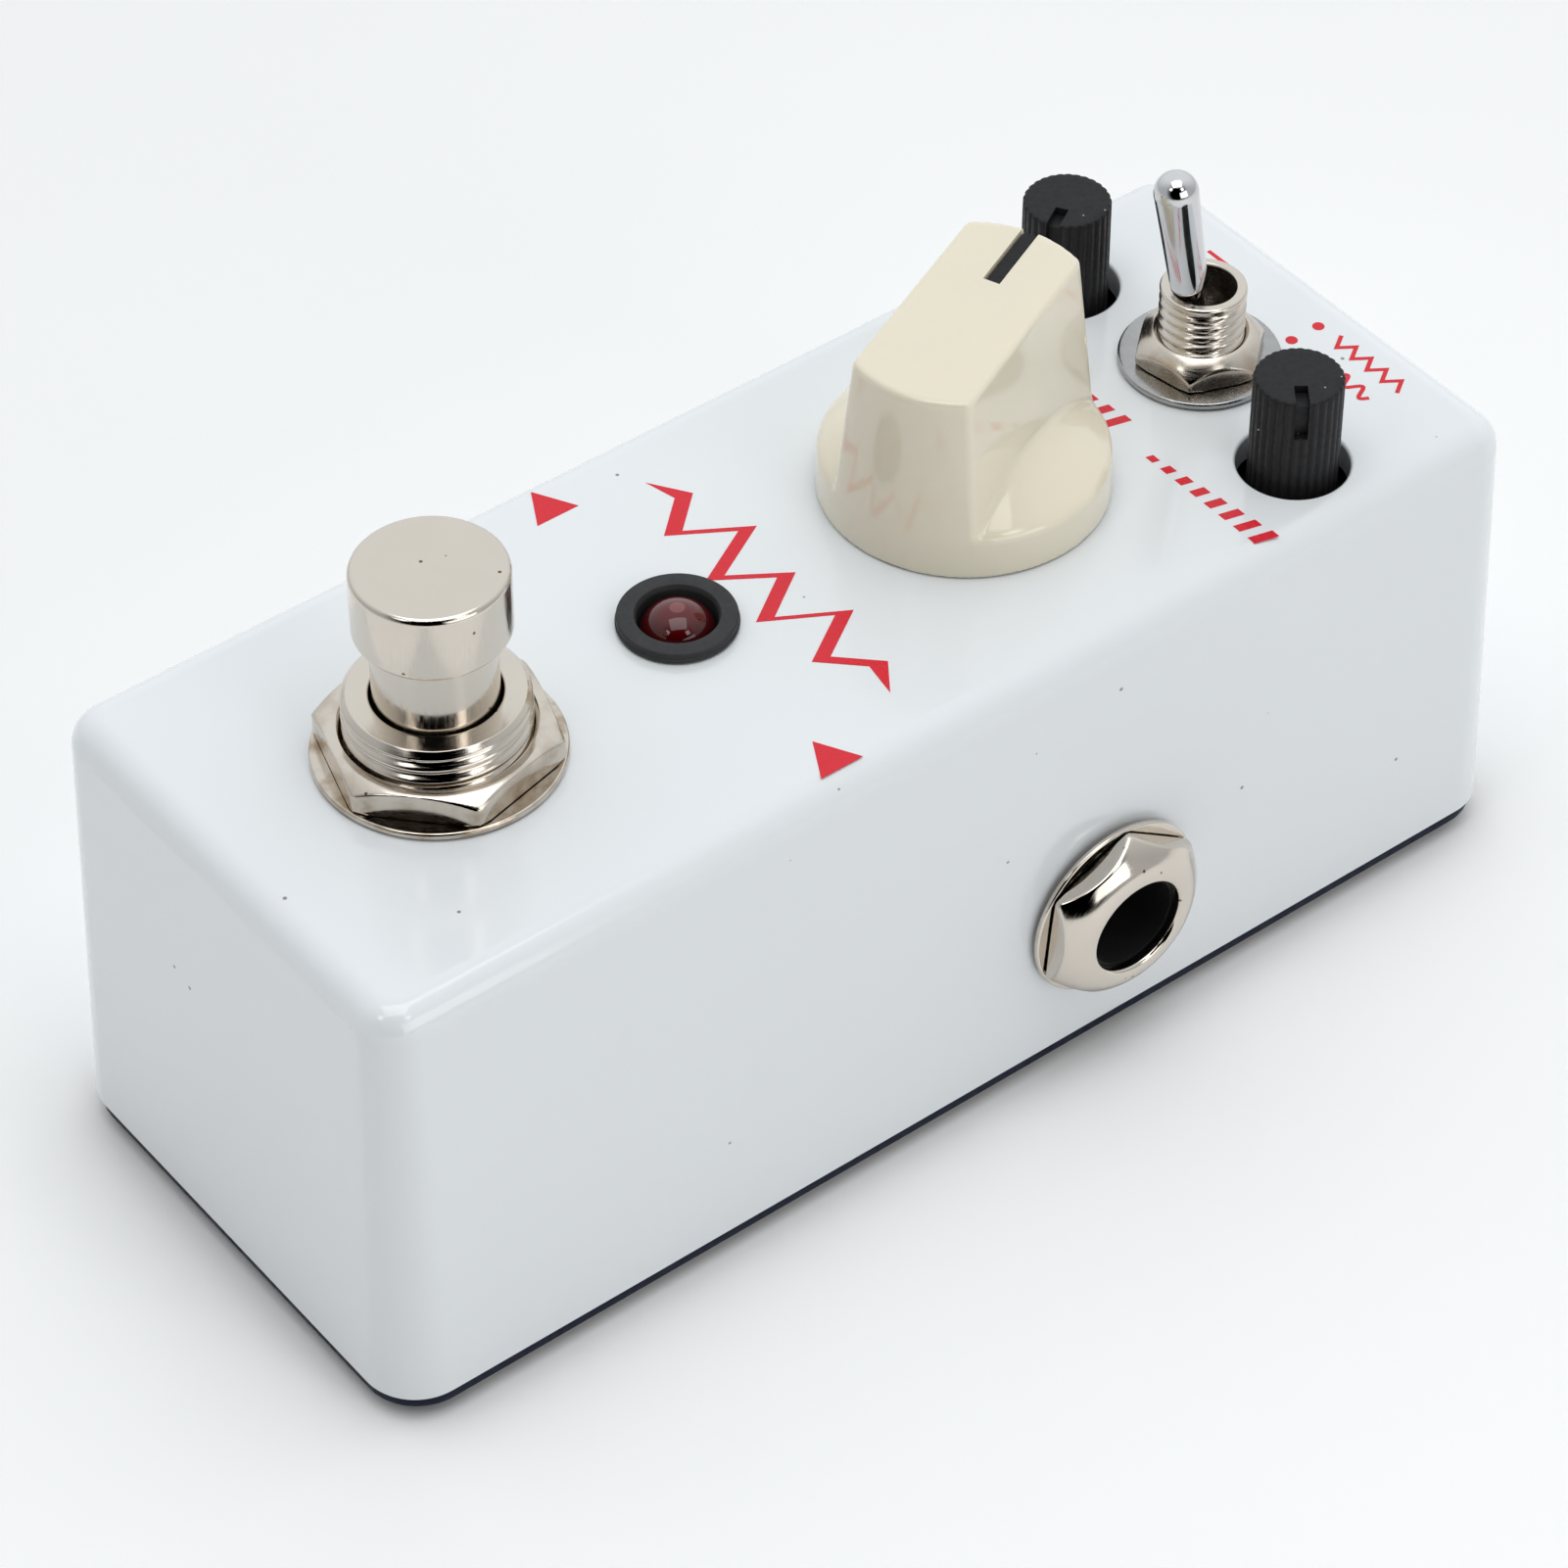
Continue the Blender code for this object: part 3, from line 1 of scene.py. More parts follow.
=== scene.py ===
"""The looks of the compact guitar effects pedal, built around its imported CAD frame.

Each visible CAD solid is replaced by a finer piece with the same size and place: the shell with its soft
edges, nuts with turned crowns, real thread helices, fluted knobs and a moulded pointer knob. Hidden solids
stay as they are and get finished materials. Pieces are modelled in local frames: on the panel, z = 0 is the
panel's top face and the control's axis is Z; on a wall, +Z points out of the wall.
"""

import json
import math

import bmesh
import bpy
import numpy as np
from mathutils import Matrix, Quaternion, Vector

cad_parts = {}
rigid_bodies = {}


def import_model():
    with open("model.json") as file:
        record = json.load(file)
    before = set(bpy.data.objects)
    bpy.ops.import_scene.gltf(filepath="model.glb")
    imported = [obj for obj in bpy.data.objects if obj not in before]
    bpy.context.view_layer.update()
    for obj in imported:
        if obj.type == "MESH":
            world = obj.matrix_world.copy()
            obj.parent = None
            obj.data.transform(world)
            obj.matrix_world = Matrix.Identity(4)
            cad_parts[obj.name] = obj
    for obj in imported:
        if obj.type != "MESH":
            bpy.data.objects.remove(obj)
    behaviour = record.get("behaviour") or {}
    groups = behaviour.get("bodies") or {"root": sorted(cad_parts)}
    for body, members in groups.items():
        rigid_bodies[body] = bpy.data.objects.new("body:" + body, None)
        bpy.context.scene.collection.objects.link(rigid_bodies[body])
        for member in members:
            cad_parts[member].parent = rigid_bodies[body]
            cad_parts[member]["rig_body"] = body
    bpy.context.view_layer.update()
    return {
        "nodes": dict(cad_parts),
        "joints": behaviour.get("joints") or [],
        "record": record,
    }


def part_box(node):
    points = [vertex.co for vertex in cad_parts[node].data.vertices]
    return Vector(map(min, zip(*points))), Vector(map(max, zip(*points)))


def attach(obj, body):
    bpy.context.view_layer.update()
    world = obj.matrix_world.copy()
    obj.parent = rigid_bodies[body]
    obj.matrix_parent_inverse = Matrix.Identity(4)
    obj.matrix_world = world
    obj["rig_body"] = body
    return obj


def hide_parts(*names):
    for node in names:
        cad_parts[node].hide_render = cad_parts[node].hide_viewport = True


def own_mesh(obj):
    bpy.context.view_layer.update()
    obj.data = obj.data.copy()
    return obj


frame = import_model()

MM = 0.001
ARC_STEPS = 5
ROUND_STEPS = 96
SHARP_ANGLE = math.radians(38)
SLOTS = {part["node"]: part["material_slot"] for part in frame["record"]["subparts"]}
BODIES = {node: obj["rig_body"] for node, obj in frame["nodes"].items()}
JOINTS = {joint["name"]: joint for joint in frame["joints"]}

# ---- places read from the frame
SHELL_LOW, SHELL_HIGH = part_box("enclosure_shell")
PANEL = SHELL_HIGH.z
RIM = SHELL_LOW.z

# ---- shape details
WALL = 1.8 * MM
PANEL_THICKNESS = 2.0 * MM
CORNER_RADIUS = 3.9 * MM
TOP_EDGE_RADIUS = 2.2 * MM
DRAFT_INSET = 1.1 * MM
CORNER_STEPS = 16
EDGE_STEPS = 10
HOLE_LIP = 0.25 * MM
HOLE_DEPTH = 3.0 * MM
SWITCH_HOLE_LEDGE = 1.5 * MM  # how far the inner nut laps over the footswitch's hole
LAMP_HOLE = 3.2 * MM
MAIN_POT_HOLE = 3.8 * MM
TOGGLE_HOLE = 3.22 * MM
SMALL_KNOB_HOLE = 3.78 * MM
JACK_HOLE = 4.9 * MM
DC_HOLE = 4.3 * MM
DC_HOLE_LIP = 0.4 * MM
BOSS_RADIUS = 2.9 * MM
BOSS_HOLE_RADIUS = 1.35 * MM
BOSS_HOLE_DEPTH = 11.0 * MM
GAP = 0.1 * MM
OVERSHOOT = 1.0 * MM  # how far a cutter or a hidden root passes the face that it crosses
FINE_STEP = 0.09 * MM  # longest step along a threaded wall
NUT_STEP = 0.16 * MM

SCREW_HEAD_RADIUS = 2.5 * MM
SCREW_HEAD_RIM = 0.2 * MM
SCREW_HEAD_DEPTH = 1.0 * MM
SCREW_SHANK_RADIUS = 1.25 * MM
SCREW_LENGTH = 9.5 * MM
SCREW_HOLE_IN_PAD = 3.5 * MM
CROSS_HALF_LENGTH = 1.4 * MM
CROSS_HALF_WIDTH = 0.3 * MM
CROSS_DEPTH = 0.6 * MM

SWITCH_PITCH = 1.0 * MM
SWITCH_THREAD_DEPTH = 0.4 * MM
TOGGLE_PITCH = 0.8 * MM
TOGGLE_THREAD_DEPTH = 0.36 * MM

KNOB_LEAN = 0.098  # how fast the knob's cone narrows above its rim
KNOB_RIM_LEAN = 0.03
KNOB_RIM_HEIGHT = 3.0 * MM
KNOB_DOME_HEIGHT = 6.9 * MM
KNOB_TOP_FRONT = 13.5 * MM
KNOB_TOP_POINTER = 15.0 * MM
KNOB_CROWN_RADIUS = 8.55 * MM
KNOB_GRIP_TOP_WIDTH = 8.4 * MM
KNOB_GRIP_BASE_WIDTH = 10.4 * MM
KNOB_EDGE = 0.34 * MM  # blend width along the grip's edges
KNOB_ROOT = 0.45 * MM  # blend width where the grip meets the skirt
KNOB_CELLS = 110  # mesh cells along each side of the knob's projected cube
KNOB_RECESS_RADIUS = 6.4 * MM
KNOB_RECESS_TOP = 3.5 * MM
KNOB_BORE = 3.1 * MM
KNOB_BORE_TOP = 11.4 * MM
POINTER_START = 3.15 * MM
POINTER_WIDTH = 1.0 * MM
POINTER_DEPTH = 0.9 * MM

FLUTES = 30
FLUTE_DEPTH = 0.13 * MM
SMALL_SLOT_WIDTH = 0.9 * MM
SMALL_SLOT_START = 1.0 * MM
SMALL_SLOT_DEPTH = 0.6 * MM
SMALL_SLOT_DROP = 2.9 * MM

SWITCH_NUT_TURN = math.radians(43)
TOGGLE_NUT_TURN = math.radians(10)
JACK_NUT_TURN = math.radians(-5)
NUT_EDGE = 0.12 * MM  # blend width where a crown meets the hexagon
NUT_REACH = 0.15 * MM  # how far a nut's turned outline passes the hexagon's corners
NUT_CHAMFER = 0.25 * MM
FRAME_THICKNESS = 0.8 * MM  # of the steel frame at the foot of a switch's bushing

PRINT_THICKNESS = 0.02 * MM

# ---- colours (linear)
WHITE = (0.80, 0.83, 0.85)
CREAM = (0.82, 0.755, 0.60)
NICKEL = (0.66, 0.605, 0.535)
# brown of the painted shade on nickel near the panel; at half strength it also colours the nickel's real dark
# specks
SHADE_AND_SPECK_BROWN = (0.30, 0.21, 0.12)
CHROME = (0.64, 0.64, 0.65)
BLACK = (0.018, 0.018, 0.019)
PRINT_RED = (0.70, 0.025, 0.04)
LENS_RED = (0.20, 0.006, 0.010)


# ---- node graphs
def tinted(colour, factor):
    return tuple(channel * factor for channel in colour)


class Tree:
    """A node tree under construction: short calls that add and link nodes."""

    def __init__(self, tree):
        self.nodes = tree.nodes
        self.links = tree.links

    def feed(self, socket, value):
        """Gives an input a plain value or another node's output."""
        if isinstance(value, bpy.types.NodeSocket):
            self.links.new(value, socket)
        else:
            socket.default_value = value

    def math(self, operation, first, second=0.0):
        node = self.nodes.new("ShaderNodeMath")
        node.operation = operation
        self.feed(node.inputs[0], first)
        self.feed(node.inputs[1], second)
        return node.outputs[0]

    def span(self, source, low, high, start=0.3, stop=0.7):
        """Maps the source's start..stop to low..high, smoothly and clamped."""
        node = self.nodes.new("ShaderNodeMapRange")
        node.interpolation_type = "SMOOTHSTEP"
        self.feed(node.inputs["Value"], source)
        node.inputs["From Min"].default_value = start
        node.inputs["From Max"].default_value = stop
        node.inputs["To Min"].default_value = low
        node.inputs["To Max"].default_value = high
        return node.outputs[0]


class Graph(Tree):
    """A material under construction, with calls that feed its Principled shader."""

    def __init__(self, name, colour, roughness, metallic=0.0):
        self.material = bpy.data.materials.new(name)
        self.material.use_nodes = True
        super().__init__(self.material.node_tree)
        self.shader = self.nodes["Principled BSDF"]
        self.place = self.nodes.new("ShaderNodeTexCoord").outputs["Object"]
        self.set("Base Color", (*colour, 1.0))
        self.set("Roughness", roughness)
        self.set("Metallic", metallic)

    def set(self, socket, value):
        self.feed(self.shader.inputs[socket], value)

    def stretched(self, scale):
        """The place, scaled along each axis by a vector."""
        node = self.nodes.new("ShaderNodeVectorMath")
        node.operation = "MULTIPLY"
        self.links.new(self.place, node.inputs[0])
        node.inputs[1].default_value = scale
        return node.outputs[0]

    def polar(self):
        """The place as a radius, an angle and a height about the local Z axis."""
        parts = self.nodes.new("ShaderNodeSeparateXYZ")
        self.links.new(self.place, parts.inputs[0])
        x, y, z = parts.outputs
        squares = self.math("ADD", self.math("MULTIPLY", x, x), self.math("MULTIPLY", y, y))
        return self.math("SQRT", squares), self.math("ARCTAN2", y, x), z

    def around_axis(self, across, along):
        """A place for marks that run round the local Z axis: fine across the turning, coarse along it."""
        radius, angle, z = self.polar()
        join = self.nodes.new("ShaderNodeCombineXYZ")
        self.links.new(self.math("MULTIPLY", radius, across), join.inputs[0])
        self.links.new(self.math("MULTIPLY", angle, along), join.inputs[1])
        self.links.new(self.math("MULTIPLY", z, across), join.inputs[2])
        return join.outputs[0]

    def noise(self, scale, detail=2.0, place=None):
        node = self.nodes.new("ShaderNodeTexNoise")
        self.links.new(place or self.place, node.inputs["Vector"])
        node.inputs["Scale"].default_value = scale
        node.inputs["Detail"].default_value = detail
        return node.outputs["Fac"]

    def mix(self, factor, first, second):
        node = self.nodes.new("ShaderNodeMix")
        node.data_type = "RGBA"
        self.feed(node.inputs[0], factor)
        for socket, colour in ((node.inputs[6], first), (node.inputs[7], second)):
            self.feed(socket, colour if isinstance(colour, bpy.types.NodeSocket) else (*colour, 1.0))
        return node.outputs[2]

    def specks(self, scale, size, share):
        """1 on small scattered spots and 0 elsewhere. share is how many of the cells hold a spot."""
        node = self.nodes.new("ShaderNodeTexVoronoi")
        self.links.new(self.place, node.inputs["Vector"])
        node.inputs["Scale"].default_value = scale
        spot = self.span(node.outputs["Distance"], 1.0, 0.0, size * 0.6, size)
        pick = self.math("LESS_THAN", node.outputs["Color"], share)
        return self.math("MULTIPLY", spot, pick)

    def cloudy(self, colour, dark, pale, scale, detail=3.0):
        """Lets the base colour drift between a darker and a paler tint of a colour, and returns it."""
        tone = self.mix(self.noise(scale, detail), tinted(colour, dark), tinted(colour, pale))
        self.set("Base Color", tone)
        return tone

    def uneven(self, low, high, scale, detail=3.0):
        """Lets the roughness drift between two values."""
        self.set("Roughness", self.span(self.noise(scale, detail), low, high))

    def coat(self, weight, roughness):
        self.set("Coat Weight", weight)
        self.set("Coat Roughness", roughness)

    def bump(self, *layers):
        """Stacks (height, depth in metres) layers on the shader's normal."""
        normal = None
        for height, depth in layers:
            node = self.nodes.new("ShaderNodeBump")
            node.inputs["Distance"].default_value = depth
            self.links.new(height, node.inputs["Height"])
            if normal is not None:
                self.links.new(normal, node.inputs["Normal"])
            normal = node.outputs["Normal"]
        self.links.new(normal, self.shader.inputs["Normal"])


# ---- materials
def enamel():
    """Glossy white paint with a trace of orange peel and a few specks of dust."""
    g = Graph("white_enamel", WHITE, 0.15)
    tone = g.cloudy(WHITE, 0.985, 1.015, 45.0)
    g.set("Base Color", g.mix(g.specks(230.0, 0.04, 0.75), tone, (0.26, 0.24, 0.22)))
    g.uneven(0.12, 0.20, 260.0, 4.0)
    g.coat(0.35, 0.06)
    g.bump((g.noise(900.0, 2.0), 0.0016 * MM), (g.noise(9000.0, 1.0), 0.0001 * MM))
    return g.material


def bare_casting():
    """The unpainted inside of the shell: grey, sandy die-cast metal."""
    g = Graph("bare_casting", (0.32, 0.32, 0.33), 0.5, 0.8)
    g.set("Base Color", g.mix(g.noise(700.0, 4.0), (0.24, 0.24, 0.25), (0.40, 0.40, 0.41)))
    g.uneven(0.4, 0.65, 2200.0)
    g.bump((g.noise(4200.0, 3.0), 0.02 * MM))
    return g.material


def nickel(name="nickel", straight=False, shade_height=0.0, smooth=0.08, rough=0.17):
    """Warm nickel plate, turned or straight-brushed; painted brown shade darkens it in patches from the panel
    up to a given height.
    """
    g = Graph(name, NICKEL, rough, 1.0)
    if straight:
        lines = g.noise(1.0, 3.0, g.stretched((900.0, 9000.0, 900.0)))
    else:
        lines = g.noise(1.0, 3.0, g.around_axis(14000.0, 3.0))
    blotches = g.noise(260.0, 3.0)
    colour = g.mix(blotches, tinted(NICKEL, 0.97), tinted(NICKEL, 1.04))
    # painted shade: brown patches darken the nickel from the panel up to the given height
    if shade_height:
        _, _, height = g.polar()
        low = g.span(height, 1.0, 0.0, 0.0, shade_height)
        patchy = g.math("MULTIPLY", low, g.span(g.noise(520.0, 5.0), 0.08, 0.8, 0.4, 0.68))
        colour = g.mix(patchy, colour, SHADE_AND_SPECK_BROWN)
    g.set("Base Color", g.mix(g.specks(480.0, 0.07, 0.85), colour, tinted(SHADE_AND_SPECK_BROWN, 0.5)))
    g.set("Roughness", g.span(lines, smooth, rough))
    g.bump((lines, 0.0009 * MM if straight else 0.0004 * MM), (blotches, 0.002 * MM))
    return g.material


def chrome():
    """Bright plate with faint wiping marks."""
    g = Graph("chrome", CHROME, 0.1, 1.0)
    smear = g.noise(500.0, 4.0)
    g.set("Base Color", g.mix(smear, tinted(CHROME, 0.95), tinted(CHROME, 1.04)))
    g.set("Roughness", g.span(smear, 0.06, 0.14))
    g.bump((g.noise(1.0, 3.0, g.around_axis(9000.0, 2.0)), 0.0003 * MM))
    return g.material


def cream_plastic():
    """Glossy moulded cream plastic, faintly cloudy, with fine rubbing marks."""
    g = Graph("cream_plastic", CREAM, 0.12)
    g.cloudy(CREAM, 0.975, 1.02, 160.0)
    g.uneven(0.07, 0.14, 650.0, 5.0)
    g.set("Subsurface Weight", 0.12)
    g.set("Subsurface Radius", (0.0016, 0.0011, 0.0006))
    g.set("Subsurface Scale", 0.6)
    g.coat(0.5, 0.03)
    g.bump((g.noise(700.0, 2.0), 0.0012 * MM), (g.noise(6000.0, 2.0), 0.00015 * MM))
    return g.material


def black_plastic(name="black_plastic", colour=BLACK, roughness=0.42, dust=0.0, grain=0.002):
    """Dark moulded plastic with a fine grain and, where handled or open, pale dust specks."""
    g = Graph(name, colour, roughness)
    g.set("Specular IOR Level", 0.22)
    shade = g.cloudy(colour, 0.8, 1.35, 800.0, 4.0)
    if dust:
        g.set("Base Color", g.mix(g.specks(900.0, 0.08, dust), shade, (0.42, 0.42, 0.40)))
    g.uneven(roughness - 0.08, roughness + 0.1, 2600.0, 4.0)
    g.bump((g.noise(7000.0, 3.0), grain * MM))
    return g.material


def red_lens():
    """Dark translucent red moulding with the paler light emitter showing in the middle."""
    g = Graph("red_lens", LENS_RED, 0.05)
    radius, _, _ = g.polar()
    depth = g.mix(g.span(radius, 0.0, 1.0, 0.6 * MM, 2.5 * MM), (0.11, 0.003, 0.006), (0.05, 0.0015, 0.002))
    cup = g.mix(g.span(radius, 0.35, 0.0, 0.42 * MM, 0.58 * MM), depth, (0.40, 0.16, 0.16))
    g.set("Base Color", g.mix(g.noise(900.0, 3.0), cup, g.mix(0.12, cup, BLACK)))
    g.uneven(0.03, 0.08, 1500.0)
    g.set("Specular IOR Level", 0.35)
    g.coat(0.35, 0.03)
    g.bump((g.noise(2500.0, 2.0), 0.0006 * MM))
    return g.material


def print_red():
    """Screen-printed ink, slightly uneven over the paint."""
    g = Graph("red_print", PRINT_RED, 0.25)
    g.set("Specular IOR Level", 0.25)
    g.cloudy(PRINT_RED, 0.94, 1.05, 1800.0, 4.0)
    g.uneven(0.18, 0.34, 2500.0)
    g.bump((g.noise(5200.0, 2.0), 0.0015 * MM))
    return g.material


def black_steel():
    """Fine-textured blue-black coat on the base plate and its screws."""
    colour = (0.004, 0.008, 0.022)
    g = Graph("black_steel", colour, 0.5)
    g.set("Specular IOR Level", 0.15)
    g.cloudy(colour, 0.75, 1.5, 900.0)
    g.uneven(0.36, 0.55, 1700.0)
    g.bump((g.noise(3300.0, 3.0), 0.008 * MM))
    return g.material


def rubber():
    """The base pad: dark brown-grey rubber with a fine pebbled face."""
    colour = (0.095, 0.080, 0.066)
    g = Graph("black_rubber", colour, 0.85)
    pebbles = g.nodes.new("ShaderNodeTexVoronoi")
    g.links.new(g.place, pebbles.inputs["Vector"])
    pebbles.inputs["Scale"].default_value = 1500.0
    g.cloudy(colour, 0.7, 1.5, 320.0, 5.0)
    g.uneven(0.74, 0.95, 1200.0)
    g.bump((pebbles.outputs["Distance"], 0.05 * MM), (g.noise(5200.0, 3.0), 0.01 * MM))
    return g.material


def laminate():
    """Brown paper laminate under the footswitch terminals, with its fibres."""
    colour = (0.25, 0.12, 0.05)
    g = Graph("brown_laminate", colour, 0.55)
    fibres = g.noise(1.0, 5.0, g.stretched((600.0, 5200.0, 600.0)))
    g.set("Base Color", g.mix(fibres, tinted(colour, 0.6), tinted(colour, 1.4)))
    g.set("Roughness", g.span(fibres, 0.45, 0.7))
    g.bump((fibres, 0.006 * MM))
    return g.material


def circuit_board():
    """Green solder mask with the copper tracks showing through as paler lines."""
    colour = (0.012, 0.13, 0.05)
    g = Graph("green_board", colour, 0.3)
    bricks = g.nodes.new("ShaderNodeTexBrick")
    g.links.new(g.place, bricks.inputs["Vector"])
    bricks.inputs["Scale"].default_value = 260.0
    bricks.inputs["Mortar Size"].default_value = 0.035
    tracks = bricks.outputs["Fac"]
    g.set("Base Color", g.mix(tracks, tinted(colour, 0.85), (0.05, 0.28, 0.11)))
    g.uneven(0.22, 0.4, 900.0)
    g.bump((tracks, 0.02 * MM), (g.noise(3000.0, 2.0), 0.003 * MM))
    return g.material


def nylon():
    """Milky white nylon that lets a little light in."""
    g = Graph("white_nylon", (0.72, 0.72, 0.68), 0.45)
    g.set("Base Color", g.mix(g.noise(500.0, 3.0), (0.66, 0.66, 0.62), (0.76, 0.76, 0.72)))
    g.uneven(0.38, 0.55, 1500.0)
    g.set("Subsurface Weight", 0.15)
    g.set("Subsurface Radius", (0.0015, 0.0014, 0.0012))
    g.bump((g.noise(3500.0, 3.0), 0.003 * MM))
    return g.material


def drawn_metal(name, colour, roughness):
    """Wire and stamped contacts: fine drawing lines along the world Z axis."""
    g = Graph(name, colour, roughness, 1.0)
    lines = g.noise(1.0, 4.0, g.stretched((9000.0, 9000.0, 500.0)))
    g.cloudy(colour, 0.82, 1.08, 1100.0, 4.0)
    g.set("Roughness", g.span(lines, roughness - 0.08, roughness + 0.1))
    g.bump((lines, 0.002 * MM))
    return g.material


def make_materials():
    """Every finish by name; the names of the record's slots come first."""
    return {
        "white_enamel": enamel(),
        "black_steel": black_steel(),
        "black_rubber": rubber(),
        "nickel": nickel(),
        "chrome": chrome(),
        "black_plastic": black_plastic(),
        "cream_plastic": cream_plastic(),
        "red_lens": red_lens(),
        "blue_plastic": black_plastic("blue_plastic", (0.03, 0.10, 0.35), 0.4),
        "brown_laminate": laminate(),
        "green_board": circuit_board(),
        "white_nylon": nylon(),
        "spring_steel": drawn_metal("spring_steel", (0.55, 0.55, 0.56), 0.3),
        "tinned_brass": drawn_metal("tinned_brass", (0.70, 0.66, 0.52), 0.32),
        "bare_casting": bare_casting(),
        "brushed_cap": nickel("brushed_cap", straight=True, smooth=0.10, rough=0.22),
        # the next nickel and the satin nickel below carry painted brown shade near the panel
        "shaded_nickel": nickel("shaded_nickel", shade_height=4.6 * MM, smooth=0.11, rough=0.21),
        "knob_black": black_plastic("knob_black", (0.013, 0.013, 0.014), 0.46, 0.3, 0.004),
        "bezel_black": black_plastic("bezel_black", (0.034, 0.034, 0.036), 0.55, 0.1, 0.003),
        "pointer_black": black_plastic("pointer_black", (0.012, 0.012, 0.013), 0.3, 0.1, 0.002),
        "satin_nickel": nickel("satin_nickel", shade_height=4.0 * MM, smooth=0.17, rough=0.28),
        "grey_plate": drawn_metal("grey_plate", (0.42, 0.42, 0.42), 0.2),
        "red_print": print_red(),
    }


# ---- mesh helpers
def make_object(name, bm):
    """An object that holds the bmesh's shape, with its faces pointing out."""
    bmesh.ops.recalc_face_normals(bm, faces=bm.faces)
    mesh = bpy.data.meshes.new(name)
    bm.to_mesh(mesh)
    bm.free()
    obj = bpy.data.objects.new(name, mesh)
    bpy.context.scene.collection.objects.link(obj)
    return obj


def from_faces(name, points, faces):
    bm = bmesh.new()
    verts = [bm.verts.new(point) for point in points]
    for face in faces:
        bm.faces.new([verts[i] for i in face])
    return make_object(name, bm)


def combine(obj, tool, operation):
    """Applies one Boolean to obj and removes the tool. The tool's own material stays on what it cuts."""
    modifier = obj.modifiers.new("combine", "BOOLEAN")
    modifier.operation = operation
    modifier.solver = "EXACT"
    modifier.material_mode = "TRANSFER"
    modifier.object = tool
    graph = bpy.context.evaluated_depsgraph_get()
    result = bpy.data.meshes.new_from_object(obj.evaluated_get(graph))
    obj.modifiers.clear()
    obj.data = result
    bpy.data.objects.remove(tool)


def cut(obj, tool, place=None):
    if place is not None:
        tool.matrix_world = place
    combine(obj, tool, "DIFFERENCE")


def fuse(obj, tool, place=None):
    if place is not None:
        tool.matrix_world = place
    combine(obj, tool, "UNION")


def softened(outline, closed=False):
    """The outline's points, with an arc at each (radius, height, fillet) point that gives a fillet."""
    result = []
    last = len(outline) - 1
    for i, point in enumerate(outline):
        here = Vector(point[:2])
        if len(point) < 3 or (not closed and i in (0, last)):
            result.append(tuple(here))
            continue
        before = Vector(outline[i - 1][:2]) - here
        after = Vector(outline[(i + 1) % len(outline)][:2]) - here
        half = before.angle(after) / 2
        reach = min(point[2] / math.tan(half), before.length * 0.49, after.length * 0.49)
        before.normalize()
        after.normalize()
        radius = reach * math.tan(half)
        centre = here + (before + after).normalized() * (radius / math.sin(half))
        start = here + before * reach - centre
        end = here + after * reach - centre
        for step in range(ARC_STEPS + 1):
            blend = start.lerp(end, step / ARC_STEPS).normalized() * radius
            result.append(tuple(centre + blend))
    return result


def resampled(outline, spacing):
    """The outline with points added so that none are further apart than spacing."""
    result = []
    for (r0, z0), (r1, z1) in zip(outline, outline[1:]):
        count = max(1, math.ceil(math.hypot(r1 - r0, z1 - z0) / spacing))
        result += [(r0 + (r1 - r0) * k / count, z0 + (z1 - z0) * k / count) for k in range(count)]
    return result + [outline[-1]]


def turned(name, outline, steps=ROUND_STEPS, hollow=False, form=None):
    """A solid of revolution about Z; form(radius, height, angle) may give a point its own radius."""
    points, rows, faces = [], [], []
    for radius, height in outline:
        count = 1 if radius == 0.0 else steps
        rows.append(range(len(points), len(points) + count))
        for step in range(count):
            angle = math.tau * step / steps
            reach = form(radius, height, angle) if form and radius else radius
            points.append((reach * math.cos(angle), reach * math.sin(angle), height))
    following = rows[1:] + rows[:1] if hollow else rows[1:]
    for lower, upper in zip(rows, following):
        for step in range(steps):
            after = (step + 1) % steps
            corners = (lower[step % len(lower)], lower[after % len(lower)])
            corners += (upper[after % len(upper)], upper[step % len(upper)])
            faces.append(list(dict.fromkeys(corners)))
    return from_faces(name, points, faces)


def cylinder(name, radius, bottom, top, steps=ROUND_STEPS):
    return turned(name, [(0.0, bottom), (radius, bottom), (radius, top), (0.0, top)], steps)


def lofted(name, loops):
    """A closed solid whose skin joins loops of equally many points, capped at both ends."""
    size = len(loops[0])
    points = [point for loop in loops for point in loop]
    faces = [list(range(size))[::-1], list(range(len(points) - size, len(points)))]
    for row in range(len(loops) - 1):
        for i in range(size):
            j = (i + 1) % size
            low, high = row * size, (row + 1) * size
            faces.append([low + i, low + j, high + j, high + i])
    return from_faces(name, points, faces)


def rounded_rectangle(width, length, radius, height, steps=CORNER_STEPS):
    """A closed loop of points at one height, anticlockwise, with arcs at its corners."""
    points = []
    for quarter, (sign_x, sign_y) in enumerate(((1, 1), (-1, 1), (-1, -1), (1, -1))):
        centre_x = sign_x * (width / 2 - radius)
        centre_y = sign_y * (length / 2 - radius)
        for step in range(steps + 1):
            angle = math.pi / 2 * (quarter + step / steps)
            points.append((centre_x + radius * math.cos(angle), centre_y + radius * math.sin(angle), height))
    return points


def slab(name, width, length, radius, bottom, top, edge):
    """A flat sheet with rounded corners and softened upper and lower edges."""
    loops = []
    for middle, sign in ((bottom + edge, -1), (top - edge, 1)):
        for step in range(ARC_STEPS + 1):
            turn = math.pi / 2 * (step if sign > 0 else ARC_STEPS - step) / ARC_STEPS
            inset = edge * (1 - math.cos(turn))
            height = middle + sign * edge * math.sin(turn)
            loops.append(rounded_rectangle(width - 2 * inset, length - 2 * inset, radius - inset, height))
    return lofted(name, loops)


